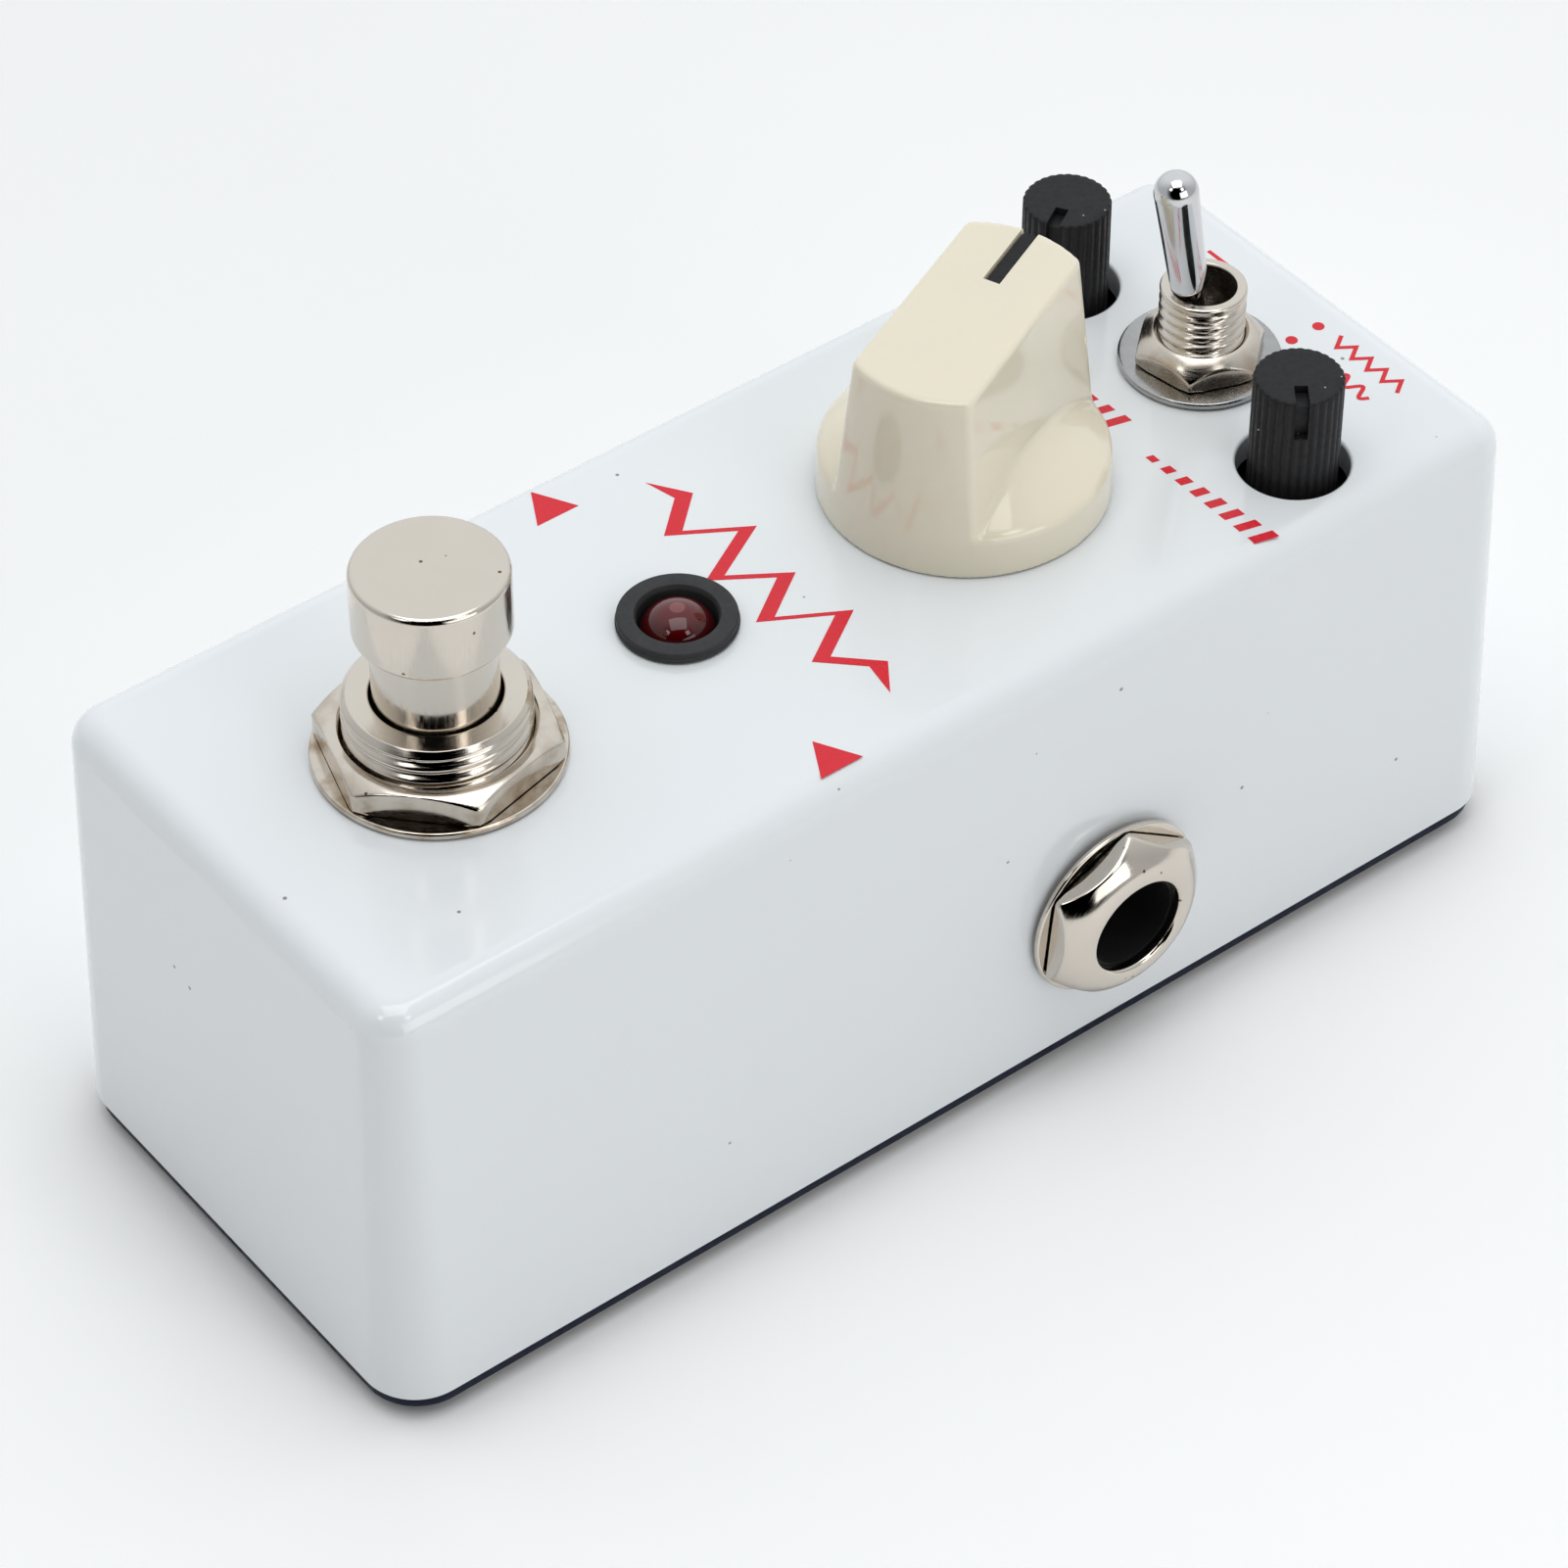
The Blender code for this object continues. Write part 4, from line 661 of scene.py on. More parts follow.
def soft_box(name, low, high, edge=0.2 * MM):
    """A box with rounded edges."""
    low, high = Vector(low), Vector(high)
    bm = bmesh.new()
    matrix = Matrix.Translation((low + high) / 2) @ Matrix.Diagonal((*(high - low), 1.0))
    bmesh.ops.create_cube(bm, size=1.0, matrix=matrix)
    if edge:
        bmesh.ops.bevel(bm, geom=bm.edges[:], offset=edge, segments=3, profile=0.5, affect="EDGES")
    return make_object(name, bm)


def soft_min(first, second, width):
    """The smaller value, with a round blend where the two come within width of each other."""
    blend = np.maximum(width - np.abs(first - second), 0.0) / width
    return np.minimum(first, second) - blend * blend * width / 4


def soft_max(first, second, width):
    return -soft_min(-first, -second, width)


def hexagon_radius(flats, angle, turn):
    """How far a hexagon's side is from its axis at an angle; its corners are slightly eased."""
    sector = math.pi / 3
    from_corner = abs((angle - turn + sector / 2) % sector - sector / 2)
    eased = math.hypot(from_corner, 0.012)
    return flats / 2 / math.cos(sector / 2 - eased)


# ---- placing and finishing pieces
def on_panel(node):
    """The local frame of a control on the panel, from the middle of one of its round CAD nodes."""
    low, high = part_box(node)
    return Matrix.Translation(((low.x + high.x) / 2, (low.y + high.y) / 2, PANEL))


def local_span(node):
    """A CAD node's lowest and highest point above the panel, and half its width along X."""
    low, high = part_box(node)
    return low.z - PANEL, high.z - PANEL, (high.x - low.x) / 2


def present(obj, node, finish=None, place=None, weighted=True):
    """Puts a finished piece in place, on its body, in the stead of its CAD node."""
    obj.name = node + "_fine"
    obj.data.name = obj.name
    obj.data.shade_smooth()
    obj.data.set_sharp_from_angle(angle=SHARP_ANGLE)
    if finish is not None:
        obj.data.materials.clear()
        obj.data.materials.append(MATERIALS[finish])
    if weighted:
        obj.modifiers.new("weighted_normal", "WEIGHTED_NORMAL").keep_sharp = True
    if place is not None:
        obj.matrix_world = place
    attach(obj, BODIES[node])
    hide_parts(node)
    return obj


# ---- enclosure
def shell_loops(inset, top, edge_radius):
    """Loops of one skin of the shell, offset inwards by inset, from the rim up to the panel."""
    width = SHELL_HIGH.x - SHELL_LOW.x - 2 * inset
    length = SHELL_HIGH.y - SHELL_LOW.y - 2 * inset
    corner = CORNER_RADIUS - min(inset, CORNER_RADIUS / 2)
    loops = [rounded_rectangle(width, length, corner, RIM)]
    lean = DRAFT_INSET * (top - edge_radius - RIM) / (PANEL - RIM)
    for step in range(EDGE_STEPS + 1):
        angle = math.pi / 2 * step / EDGE_STEPS
        shrink = lean + edge_radius * (1 - math.cos(angle))
        height = top - edge_radius * (1 - math.sin(angle))
        radius = max(corner - shrink, corner / 4)
        loops.append(rounded_rectangle(width - 2 * shrink, length - 2 * shrink, radius, height))
    return loops


def hole_cutter(radius, depth, lip=HOLE_LIP):
    """A cutter along Z whose mouth flares at z = 0, so that the hole gets a rounded lip."""
    outline = [(0.0, -depth), (radius, -depth), (radius, -lip)]
    for step in range(1, ARC_STEPS + 1):
        angle = math.pi / 2 * step / ARC_STEPS
        outline.append((radius + lip * (1 - math.cos(angle)), -lip + lip * math.sin(angle)))
    outline += [(radius + lip, OVERSHOOT), (0.0, OVERSHOOT)]
    return turned("hole", outline)


def wall_frame(node, side):
    """A jack's frame: the origin on the wall's leaning face at the height of its axis, +Z outwards."""
    low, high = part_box(node)
    height = (low.z + high.z) / 2
    face = SHELL_HIGH.x - DRAFT_INSET * (height - RIM) / (PANEL - RIM)
    location = Matrix.Translation((side * face, (low.y + high.y) / 2, height))
    return location @ Matrix.Rotation(side * math.pi / 2, 4, "Y")


def rear_frame():
    """The DC socket's frame on the rear wall, +Z towards +Y."""
    low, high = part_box("dc_socket_pin")
    height = (low.z + high.z) / 2
    face = SHELL_HIGH.y - DRAFT_INSET * (height - RIM) / (PANEL - RIM)
    location = Matrix.Translation(((low.x + high.x) / 2, face, height))
    return location @ Matrix.Rotation(-math.pi / 2, 4, "X")


def screw_places():
    for name in ("front_left", "front_right", "rear_left", "rear_right"):
        low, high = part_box("base_screw_" + name)
        yield name, (low.x + high.x) / 2, (low.y + high.y) / 2


def build_shell():
    outer = shell_loops(0.0, PANEL, TOP_EDGE_RADIUS)
    inner = shell_loops(WALL, PANEL - PANEL_THICKNESS, TOP_EDGE_RADIUS / 2)
    shell = lofted("shell", inner[::-1] + outer)
    paint_shell(shell.data, len(inner))
    for _, x, y in screw_places():
        post = cylinder("post", BOSS_RADIUS, RIM + OVERSHOOT, PANEL - PANEL_THICKNESS + GAP, 48)
        cut(post, cylinder("bore", BOSS_HOLE_RADIUS, RIM, RIM + BOSS_HOLE_DEPTH, 48))
        post.data.materials.clear()
        post.data.materials.append(MATERIALS["bare_casting"])
        fuse(shell, post, Matrix.Translation((x, y, 0.0)))
    holes = (
        ("footswitch_washer", local_span("footswitch_inner_nut")[2] - SWITCH_HOLE_LEDGE),
        ("lamp_bezel", LAMP_HOLE),
        ("main_pot_nut", MAIN_POT_HOLE),
        ("toggle_washer", TOGGLE_HOLE),
        ("left_knob", SMALL_KNOB_HOLE),
        ("right_knob", SMALL_KNOB_HOLE),
    )
    for node, radius in holes:
        cut(shell, hole_cutter(radius, HOLE_DEPTH), on_panel(node))
    for node, side in (("input_jack_washer", 1), ("output_jack_washer", -1)):
        cut(shell, hole_cutter(JACK_HOLE, HOLE_DEPTH), wall_frame(node, side))
    cut(shell, hole_cutter(DC_HOLE, HOLE_DEPTH, DC_HOLE_LIP), rear_frame())
    present(shell, "enclosure_shell")


def paint_shell(mesh, inner_loops):
    """White paint outside and bare metal on the ceiling, which is the first face, and the inner walls."""
    mesh.materials.append(MATERIALS["white_enamel"])
    mesh.materials.append(MATERIALS["bare_casting"])
    side_count = 4 * (CORNER_STEPS + 1)
    for number, face in enumerate(mesh.polygons):
        row = (number - 2) // side_count
        face.material_index = int(number == 0 or (number > 1 and row < inner_loops))


def build_base():
    plate_low, plate_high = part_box("bottom_plate")
    pad_low, pad_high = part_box("rubber_pad")
    plate_size = plate_high - plate_low
    pad_size = pad_high - pad_low
    plate = slab("plate", plate_size.x, plate_size.y, CORNER_RADIUS, plate_low.z, plate_high.z, 0.25 * MM)
    pad = slab("pad", pad_size.x, pad_size.y, CORNER_RADIUS, pad_low.z, pad_high.z, 0.15 * MM)
    for name, x, y in screw_places():
        sunk = turned("sunk", screw_outline(0.15 * MM), 48)
        cut(plate, sunk, Matrix.Translation((x, y, plate_low.z)))
        cut(pad, cylinder("hole", SCREW_HOLE_IN_PAD, -OVERSHOOT, OVERSHOOT), Matrix.Translation((x, y, 0.0)))
        build_base_screw("base_screw_" + name, Matrix.Translation((x, y, plate_low.z)))
    present(plate, "bottom_plate", "black_steel")
    present(pad, "rubber_pad", "black_rubber")


def screw_outline(clearance):
    """The outline of a countersunk hole that leaves this much room round a base screw."""
    head = SCREW_HEAD_RADIUS + clearance
    shank = SCREW_SHANK_RADIUS + clearance
    outline = [(0.0, -clearance), (head, -clearance), (head, SCREW_HEAD_RIM)]
    return outline + [(shank, SCREW_HEAD_DEPTH), (shank, SCREW_LENGTH), (0.0, SCREW_LENGTH)]


def build_base_screw(node, place):
    """A countersunk cross-head screw with its thread."""
    head, shank, length = SCREW_HEAD_RADIUS, SCREW_SHANK_RADIUS, SCREW_LENGTH
    outline = [(0.0, 0.0), (head, 0.0, 0.1 * MM), (head, SCREW_HEAD_RIM, 0.05 * MM)]
    outline += [(shank, SCREW_HEAD_DEPTH, 0.2 * MM), (shank, length - 0.5 * MM)]
    outline += [(0.6 * MM, length), (0.0, length)]
    start, pitch, depth = 1.6 * MM, 0.5 * MM, 0.2 * MM

    def form(radius, height, angle):
        if height < start or radius < shank - 0.05 * MM:
            return radius
        return radius - depth * (0.5 - 0.5 * math.cos(math.tau * (height - start) / pitch - angle))

    screw = turned("screw", resampled(softened(outline), 0.12 * MM), 48, form=form)
    corner = Vector((CROSS_HALF_LENGTH, CROSS_HALF_WIDTH, CROSS_DEPTH))
    for turn in (0.0, math.pi / 2):
        cut(screw, soft_box("slot", -corner, corner, 0.1 * MM), Matrix.Rotation(turn, 4, "Z"))
    present(screw, node, "black_steel", place)


# ---- nuts, washers and threads
def washer(node, place, finish, bore, span):
    """A flat ring with softened edges; span holds its bottom, its top and its radius."""
    bottom, top, radius = span
    edge = 0.35 * (top - bottom)
    outline = [(bore, bottom), (radius, bottom, edge), (radius, top, edge), (bore, top, edge)]
    present(turned(node, softened(outline, closed=True), 128, hollow=True), node, finish, place)


def crowned_nut(name, flats, turn, outline, steps=192):
    """A hexagonal nut: the outline turned about Z, kept inside a hexagon with softened meeting lines."""

    def form(radius, height, angle):
        return float(soft_min(radius, hexagon_radius(flats, angle, turn), NUT_EDGE))

    return turned(name, outline, steps, hollow=True, form=form)


def crown(corner, land, top, drop, power, steps):
    """Points from a nut's corners, drop below its top, in to its flat land."""
    shares = [1 - step / steps for step in range(steps + 1)]
    return [(land + (corner - land) * share, top - drop * share**power) for share in shares]


def nut_outline(flats, bore, bottom, top, land, drop):
    """The turned outline of a nut: chamfered bore, flat land, then a crown that drops to the corners."""
    corner = flats / math.sqrt(3) + NUT_REACH
    outline = [(bore, bottom), (corner - 0.5 * MM, bottom), (corner, bottom + 0.2 * MM)]
    outline += crown(corner, land, top, drop, 1.35, 14)
    outline += [(bore + NUT_CHAMFER, top), (bore, top - NUT_CHAMFER)]
    return resampled(outline, NUT_STEP)


def thread_form(outer, start, finish, pitch, depth):
    """A helical thread cut into the outer wall between two heights."""

    def form(radius, height, angle):
        if radius < outer - 0.6 * depth or height < start:
            return radius
        run_out = min(1.0, max(0.0, (finish - height) / (pitch / 2)))
        wave = 0.5 - 0.5 * math.cos(math.tau * height / pitch - angle)
        return radius - depth * run_out * wave

    return form


def bushing_on_frame(outline, form, half_x, half_y, hole):
    """A threaded bushing turned from its outline, fused to the flat steel frame at its foot."""
    rows = resampled(softened(outline, closed=True) + [outline[0]], FINE_STEP)[:-1]
    bushing = turned("bushing", rows, hollow=True, form=form)
    bottom = outline[0][1]
    top = bottom + FRAME_THICKNESS
    plate = soft_box("plate", (-half_x, -half_y, bottom), (half_x, half_y, top), 0.15 * MM)
    cut(plate, cylinder("hole", hole, bottom - OVERSHOOT, top + OVERSHOOT))
    fuse(bushing, plate)
    return bushing


def width_over_flats(node):
    """How wide a nut is across its flats, from the corners of its CAD solid."""
    obj = frame["nodes"][node]
    low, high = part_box(node)
    centre = (low + high) / 2
    axis = min(range(3), key=lambda i: high[i] - low[i])
    reach = 0.0
    for vertex in obj.data.vertices:
        offset = vertex.co - centre
        offset[axis] = 0.0
        reach = max(reach, offset.length)
    return reach * math.sqrt(3)


# ---- footswitch
def build_footswitch():
    place = on_panel("footswitch_washer")
    washer("footswitch_washer", place, "shaded_nickel", 6.3 * MM, local_span("footswitch_washer"))
    bottom, top, _ = local_span("footswitch_nut")
    flats = width_over_flats("footswitch_nut")
    outline = nut_outline(flats, 6.05 * MM, bottom, top, land=6.75 * MM, drop=0.85 * MM)
    nut = crowned_nut("nut", flats, SWITCH_NUT_TURN, outline)
    present(nut, "footswitch_nut", "shaded_nickel", place, weighted=False)
    build_footswitch_bushing(place)
    build_footswitch_button(place)
    build_footswitch_spring()


def build_footswitch_bushing(place):
    """The threaded bushing with its square steel frame."""
    bottom, top, half_side = local_span("footswitch_bushing")
    outer, bore = 6.0 * MM, 4.18 * MM
    frame_top = bottom + FRAME_THICKNESS
    outline = [(bore, bottom), (half_side * 0.8, bottom), (half_side * 0.8, frame_top), (outer, frame_top)]
    outline += [(outer, top - 0.4 * MM, 0.1 * MM), (outer - 0.4 * MM, top, 0.12 * MM), (bore, top, 0.15 * MM)]
    form = thread_form(outer, frame_top + 0.4 * MM, top - 0.3 * MM, SWITCH_PITCH, SWITCH_THREAD_DEPTH)
    bushing = bushing_on_frame(outline, form, half_side, half_side, 5.6 * MM)
    present(bushing, "footswitch_bushing", "shaded_nickel", place, weighted=False)


def build_footswitch_button(place):
    """The push cap on its neck, turned from one piece."""
    bottom, top, radius = local_span("footswitch_button")
    neck = 4.0 * MM
    underside = 10.2 * MM
    outline = [(0.0, bottom), (neck, bottom, 0.3 * MM), (neck, underside - 0.1 * MM, 0.1 * MM)]
    outline += [(radius - 0.35 * MM, underside, 0.15 * MM), (radius, underside + 0.45 * MM, 0.3 * MM)]
    outline += [(radius, top, 0.45 * MM), (0.0, top)]
    button = turned("button", softened(outline), 128)
    present(button, "footswitch_button", "brushed_cap", place)


def build_footswitch_spring():
    """The return spring's coil, built at rest on its seat."""
    low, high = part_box("footswitch_spring")
    height = high.z - low.z
    wire, turns, steps, facets = 0.3 * MM, 4, 48, 12
    radius = (high.x - low.x) / 2 - wire
    rise = (height - 2 * wire) / (turns * steps)
    up = Vector((0.0, 0.0, 1.0))
    around = [math.tau * k / facets for k in range(facets)]
    loops = []
    for step in range(turns * steps + 1):
        angle = math.tau * step / steps
        outwards = Vector((math.cos(angle), math.sin(angle), 0.0))
        centre = outwards * radius + up * (wire + rise * step)
        section = [outwards * math.cos(turn) + up * math.sin(turn) for turn in around]
        loops.append([centre + direction * wire for direction in section])
    seat = on_panel("footswitch_washer").translation
    seat.z = low.z
    spring = lofted("spring", loops)
    present(spring, "footswitch_spring", "spring_steel", Matrix.Translation(seat), weighted=False)
    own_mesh(spring)


# ---- status lamp
def build_lamp():
    place = on_panel("lamp_bezel")
    bottom, top, radius = local_span("lamp_bezel")
    bore = 2.65 * MM
    outline = [
        (bore, bottom, 0.1 * MM),
        (3.0 * MM, bottom, 0.1 * MM),
        (3.0 * MM, 0.1 * MM),
        (radius, 0.1 * MM, 0.1 * MM),
        (radius, 0.36 * MM, 0.06 * MM),
        (radius - 0.07 * MM, 0.40 * MM, 0.03 * MM),
        (radius - 0.07 * MM, top, 0.16 * MM),
        (bore + 0.14 * MM, top, 0.1 * MM),
        (bore, top - 0.35 * MM, 0.1 * MM),
    ]
    bezel = turned("bezel", softened(outline, closed=True), 128, hollow=True)
    present(bezel, "lamp_bezel", "bezel_black", place)
    bottom, top, _ = local_span("lamp_lens")
    radius, flange, base = 2.6 * MM, 2.9 * MM, -7.0 * MM
    dome_start = top - 0.96 * radius
    outline = [(0.0, base), (flange, base, 0.15 * MM)]
    outline += [(flange, base + OVERSHOOT, 0.15 * MM), (radius, base + OVERSHOOT)]
    for step in range(24):
        angle = math.pi / 2 * step / 24
        outline.append((radius * math.cos(angle), dome_start + (top - dome_start) * math.sin(angle)))
    outline.append((0.0, top))
    lens = turned("lens", softened(outline))
    for x in (-1.27 * MM, 1.27 * MM):
        low, high = (x - 0.25 * MM, -0.25 * MM, bottom), (x + 0.25 * MM, 0.25 * MM, base + 0.3 * MM)
        fuse(lens, soft_box("leg", low, high, 0.0))
    present(lens, "lamp_lens", "red_lens", place)


# ---- large knob
def knob_top(y):
    slope = (KNOB_TOP_POINTER - KNOB_TOP_FRONT) / (2 * KNOB_CROWN_RADIUS)
    return (KNOB_TOP_POINTER + KNOB_TOP_FRONT) / 2 + slope * y


def knob_field(x, y, z, base_radius, bottom):
    """Below zero inside the knob: a cone under a sloping top, scooped on both sides down to a domed skirt."""
    radius = np.hypot(x, y)
    above = np.maximum(z - KNOB_RIM_HEIGHT, 0.0)
    side = radius - (base_radius - KNOB_RIM_LEAN * np.minimum(z, KNOB_RIM_HEIGHT) - KNOB_LEAN * above)
    middle = knob_top(0.0)
    widen = (KNOB_GRIP_BASE_WIDTH - KNOB_GRIP_TOP_WIDTH) / 2 / (middle - KNOB_RIM_HEIGHT)
    wall = np.abs(x) - (KNOB_GRIP_TOP_WIDTH / 2 + widen * (middle - z))
    drop = KNOB_DOME_HEIGHT - KNOB_RIM_HEIGHT
    skirt = z - (KNOB_DOME_HEIGHT - drop * (radius / base_radius) ** 2)
    scooped = soft_min(wall, skirt, KNOB_ROOT)
    body = soft_max(soft_max(side, z - knob_top(y), KNOB_EDGE), scooped, KNOB_EDGE)
    return soft_max(body, bottom - z, KNOB_EDGE / 2)


def cube_directions(cells):
    """Unit directions over a cube's faces, as points and quads that share their edges."""
    bm = bmesh.new()
    bmesh.ops.create_cube(bm, size=2.0)
    bmesh.ops.subdivide_edges(bm, edges=bm.edges[:], cuts=cells - 1, use_grid_fill=True)
    points = np.array([vertex.co for vertex in bm.verts])
    return bm, np.tan(points * math.pi / 4)


def knob_body(base_radius, bottom):
    """The knob's skin: rays from inside, each stopped where the field reaches zero."""
    bm, rays = cube_directions(KNOB_CELLS)
    rays /= np.linalg.norm(rays, axis=1)[:, None]
    centre = np.array((0.0, 0.0, 5.0 * MM))
    near = np.zeros(len(rays))
    far = np.full(len(rays), 20.0 * MM)
    for _ in range(30):
        middle = (near + far) / 2
        x, y, z = (centre + rays * middle[:, None]).T
        inside = knob_field(x, y, z, base_radius, bottom) < 0
        near = np.where(inside, middle, near)
        far = np.where(inside, far, middle)
    for vertex, point in zip(bm.verts, centre + rays * near[:, None]):
        vertex.co = point
    return make_object("knob", bm)


def pointer_solid(name, clearance, edge):
    """The pointer's groove, or with no clearance the strip that lies in it."""
    half = POINTER_WIDTH / 2 + clearance
    end = KNOB_CROWN_RADIUS + (OVERSHOOT if clearance else -0.15 * MM)
    loops = []
    for depth, inset in ((POINTER_DEPTH + clearance, 0.0), (0.25 * MM + edge, 0.0), (0.25 * MM, edge)):
        depth = depth if not clearance or depth > POINTER_DEPTH else depth - 2 * OVERSHOOT
        low, high = POINTER_START - clearance + inset, end - inset
        corners = ((-half + inset, low), (half - inset, low), (half - inset, high), (-half + inset, high))
        loops.append([(x, y, knob_top(y) - depth) for x, y in corners])
    return lofted(name, loops)


def knob_place():
    """The knob's frame: Z on its axis and +Y along the pointer."""
    pivot = Vector(JOINTS["main_knob_turn"]["pos_m"])
    low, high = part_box("main_knob_pointer")
    towards = (low + high) / 2 - pivot
    turn = math.atan2(-towards.x, towards.y)
    return Matrix.Translation((pivot.x, pivot.y, PANEL)) @ Matrix.Rotation(turn, 4, "Z")


def build_large_knob():
    place = knob_place()
    bottom, _, half_width = local_span("main_knob")
    knob = knob_body(half_width, bottom)
    cut(knob, cylinder("recess", KNOB_RECESS_RADIUS, -OVERSHOOT, KNOB_RECESS_TOP))
    cut(knob, cylinder("bore", KNOB_BORE, 0.0, KNOB_BORE_TOP))
    cut(knob, pointer_solid("groove", GAP, 0.0001 * MM))
    present(knob, "main_knob", "cream_plastic", place, weighted=False)
    strip = pointer_solid("strip", 0.0, 0.08 * MM)
    present(strip, "main_knob_pointer", "pointer_black", place)


# ---- small knobs
def slot_turn(node):
    """Which way a small knob's slot points: the middle of the slot's floor in its CAD solid."""
    low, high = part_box(node)
    centre = (low + high) / 2
    level = high.z - SMALL_SLOT_DEPTH
    total = Vector((0.0, 0.0))
    for vertex in frame["nodes"][node].data.vertices:
        if abs(vertex.co.z - level) < 0.05 * MM:
            total += Vector((vertex.co.x - centre.x, vertex.co.y - centre.y))
    return math.atan2(-total.x, total.y)


def flute_form(low, high):
    def form(radius, height, angle):
        if height < low or radius < 2.5 * MM:
            return radius
        fade = min(1.0, max(0.0, (high - height) / (0.15 * MM)))
        groove = (0.5 - 0.5 * math.cos(FLUTES * angle)) ** 2
        return radius - FLUTE_DEPTH * (0.35 + 0.65 * fade) * groove

    return form


def build_small_knob(node):
    bottom, top, radius = local_span(node)
    shaft, shoulder = 2.0 * MM, -3.2 * MM
    foot = radius + 0.03 * MM
    outline = [(0.0, bottom), (shaft, bottom, 0.2 * MM), (shaft, shoulder), (foot, shoulder, 0.1 * MM)]
    outline += [(radius, top, 0.22 * MM), (0.0, top)]
    rows = resampled(softened(outline), 0.4 * MM)
    knob = turned("small_knob", rows, FLUTES * 8, form=flute_form(shoulder + 0.3 * MM, top))
    half = SMALL_SLOT_WIDTH / 2
    outer_corner = (half, radius + OVERSHOOT, top + OVERSHOOT)
    face = radius - SMALL_SLOT_DEPTH
    for start, depth in ((SMALL_SLOT_START, SMALL_SLOT_DEPTH), (face, SMALL_SLOT_DROP)):
        cut(knob, soft_box("slot", (-half, start, top - depth), outer_corner, 0.0))
    pivot = Vector(JOINTS[node + "_turn"]["pos_m"])
    place = Matrix.Translation((pivot.x, pivot.y, PANEL)) @ Matrix.Rotation(slot_turn(node), 4, "Z")
    present(knob, node, "knob_black", place, weighted=False)


# ---- toggle switch
def build_toggle():
    place = on_panel("toggle_washer")
    washer("toggle_washer", place, "grey_plate", 3.0 * MM, local_span("toggle_washer"))
    bottom, top, _ = local_span("toggle_nut")
    flats = width_over_flats("toggle_nut")
    outline = nut_outline(flats, 2.97 * MM, bottom, top, land=3.2 * MM, drop=1.5 * MM)
    nut = crowned_nut("nut", flats, TOGGLE_NUT_TURN, outline)
    present(nut, "toggle_nut", "satin_nickel", place, weighted=False)
    build_toggle_bushing(place)
    build_toggle_lever(place)


def build_toggle_bushing(place):
    """The threaded bushing on its rectangular frame."""
    low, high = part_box("toggle_bushing")
    bottom, top = low.z - PANEL, high.z - PANEL
    half_x, half_y = (high.x - low.x) / 2, (high.y - low.y) / 2
    outer, mouth, socket = 2.92 * MM, 2.2 * MM, 1.75 * MM
    outline = [(socket, bottom), (outer, bottom), (outer, top, 0.25 * MM), (mouth, top, 0.15 * MM)]
    outline += [(mouth, top / 2, 0.2 * MM), (socket, OVERSHOOT)]
    form = thread_form(outer, 0.8 * MM, top - 0.35 * MM, TOGGLE_PITCH, TOGGLE_THREAD_DEPTH)
    bushing = bushing_on_frame(outline, form, half_x, half_y, 2.3 * MM)
    present(bushing, "toggle_bushing", "satin_nickel", place, weighted=False)


def lever_lean():
    """The lever's lean about X at rest, from the point of its CAD solid that is farthest from its pivot."""
    pivot = Vector(JOINTS["toggle_flip"]["pos_m"])
    points = [vertex.co for vertex in frame["nodes"]["toggle_lever"].data.vertices]
    tip = max(points, key=lambda point: (point - pivot).length)
    return math.atan2(pivot.y - tip.y, tip.z - pivot.z)


def build_toggle_lever(place):
    """The bat lever, turned in one piece with its ball and tail."""
    length, tip, grip, neck = 17.2 * MM, 1.5 * MM, 1.28 * MM, 0.85 * MM
    ball, tail, tail_length = 1.5 * MM, 0.7 * MM, 7.9 * MM
    outline = [(0.0, -tail_length), (tail, -tail_length, 0.2 * MM)]
    start = -math.pi / 2 + math.asin(tail / ball)
    finish = math.pi / 2 - math.asin(neck / ball)
    for step in range(21):
        angle = start + (finish - start) * step / 20
        outline.append((ball * math.cos(angle), ball * math.sin(angle)))
    outline += [(neck, 6.5 * MM, 0.3 * MM), (grip, 7.4 * MM, 0.6 * MM)]
    for step in range(20):
        angle = math.pi / 2 * step / 20
        outline.append((tip * math.cos(angle), length - tip + tip * math.sin(angle)))
    outline.append((0.0, length))
    lever = turned("lever", softened(outline), 64)
    lean = Matrix.Rotation(lever_lean(), 4, "X")
    present(lever, "toggle_lever", "chrome", place @ lean)


# ---- jacks and DC socket
def build_jack(name, side):
    """One quarter-inch jack: washer, crowned nut with an inward lip, and the plastic body."""
    place = wall_frame(name + "_washer", side)
    origin = place.translation.x

    def depth_span(node):
        low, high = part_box(node)
        ends = sorted((side * (low.x - origin), side * (high.x - origin)))
        return ends[0], ends[1], (high.z - low.z) / 2

    washer(name + "_washer", place, "nickel", 4.7 * MM, depth_span(name + "_washer"))
    bottom, top, _ = depth_span(name + "_nut")
    flats = width_over_flats(name + "_nut")
    nut = crowned_nut("nut", flats, side * JACK_NUT_TURN, jack_nut_outline(flats, bottom, top))
    present(nut, name + "_nut", "nickel", place, weighted=False)
    build_jack_body(name, side, place, depth_span(name + "_body"))


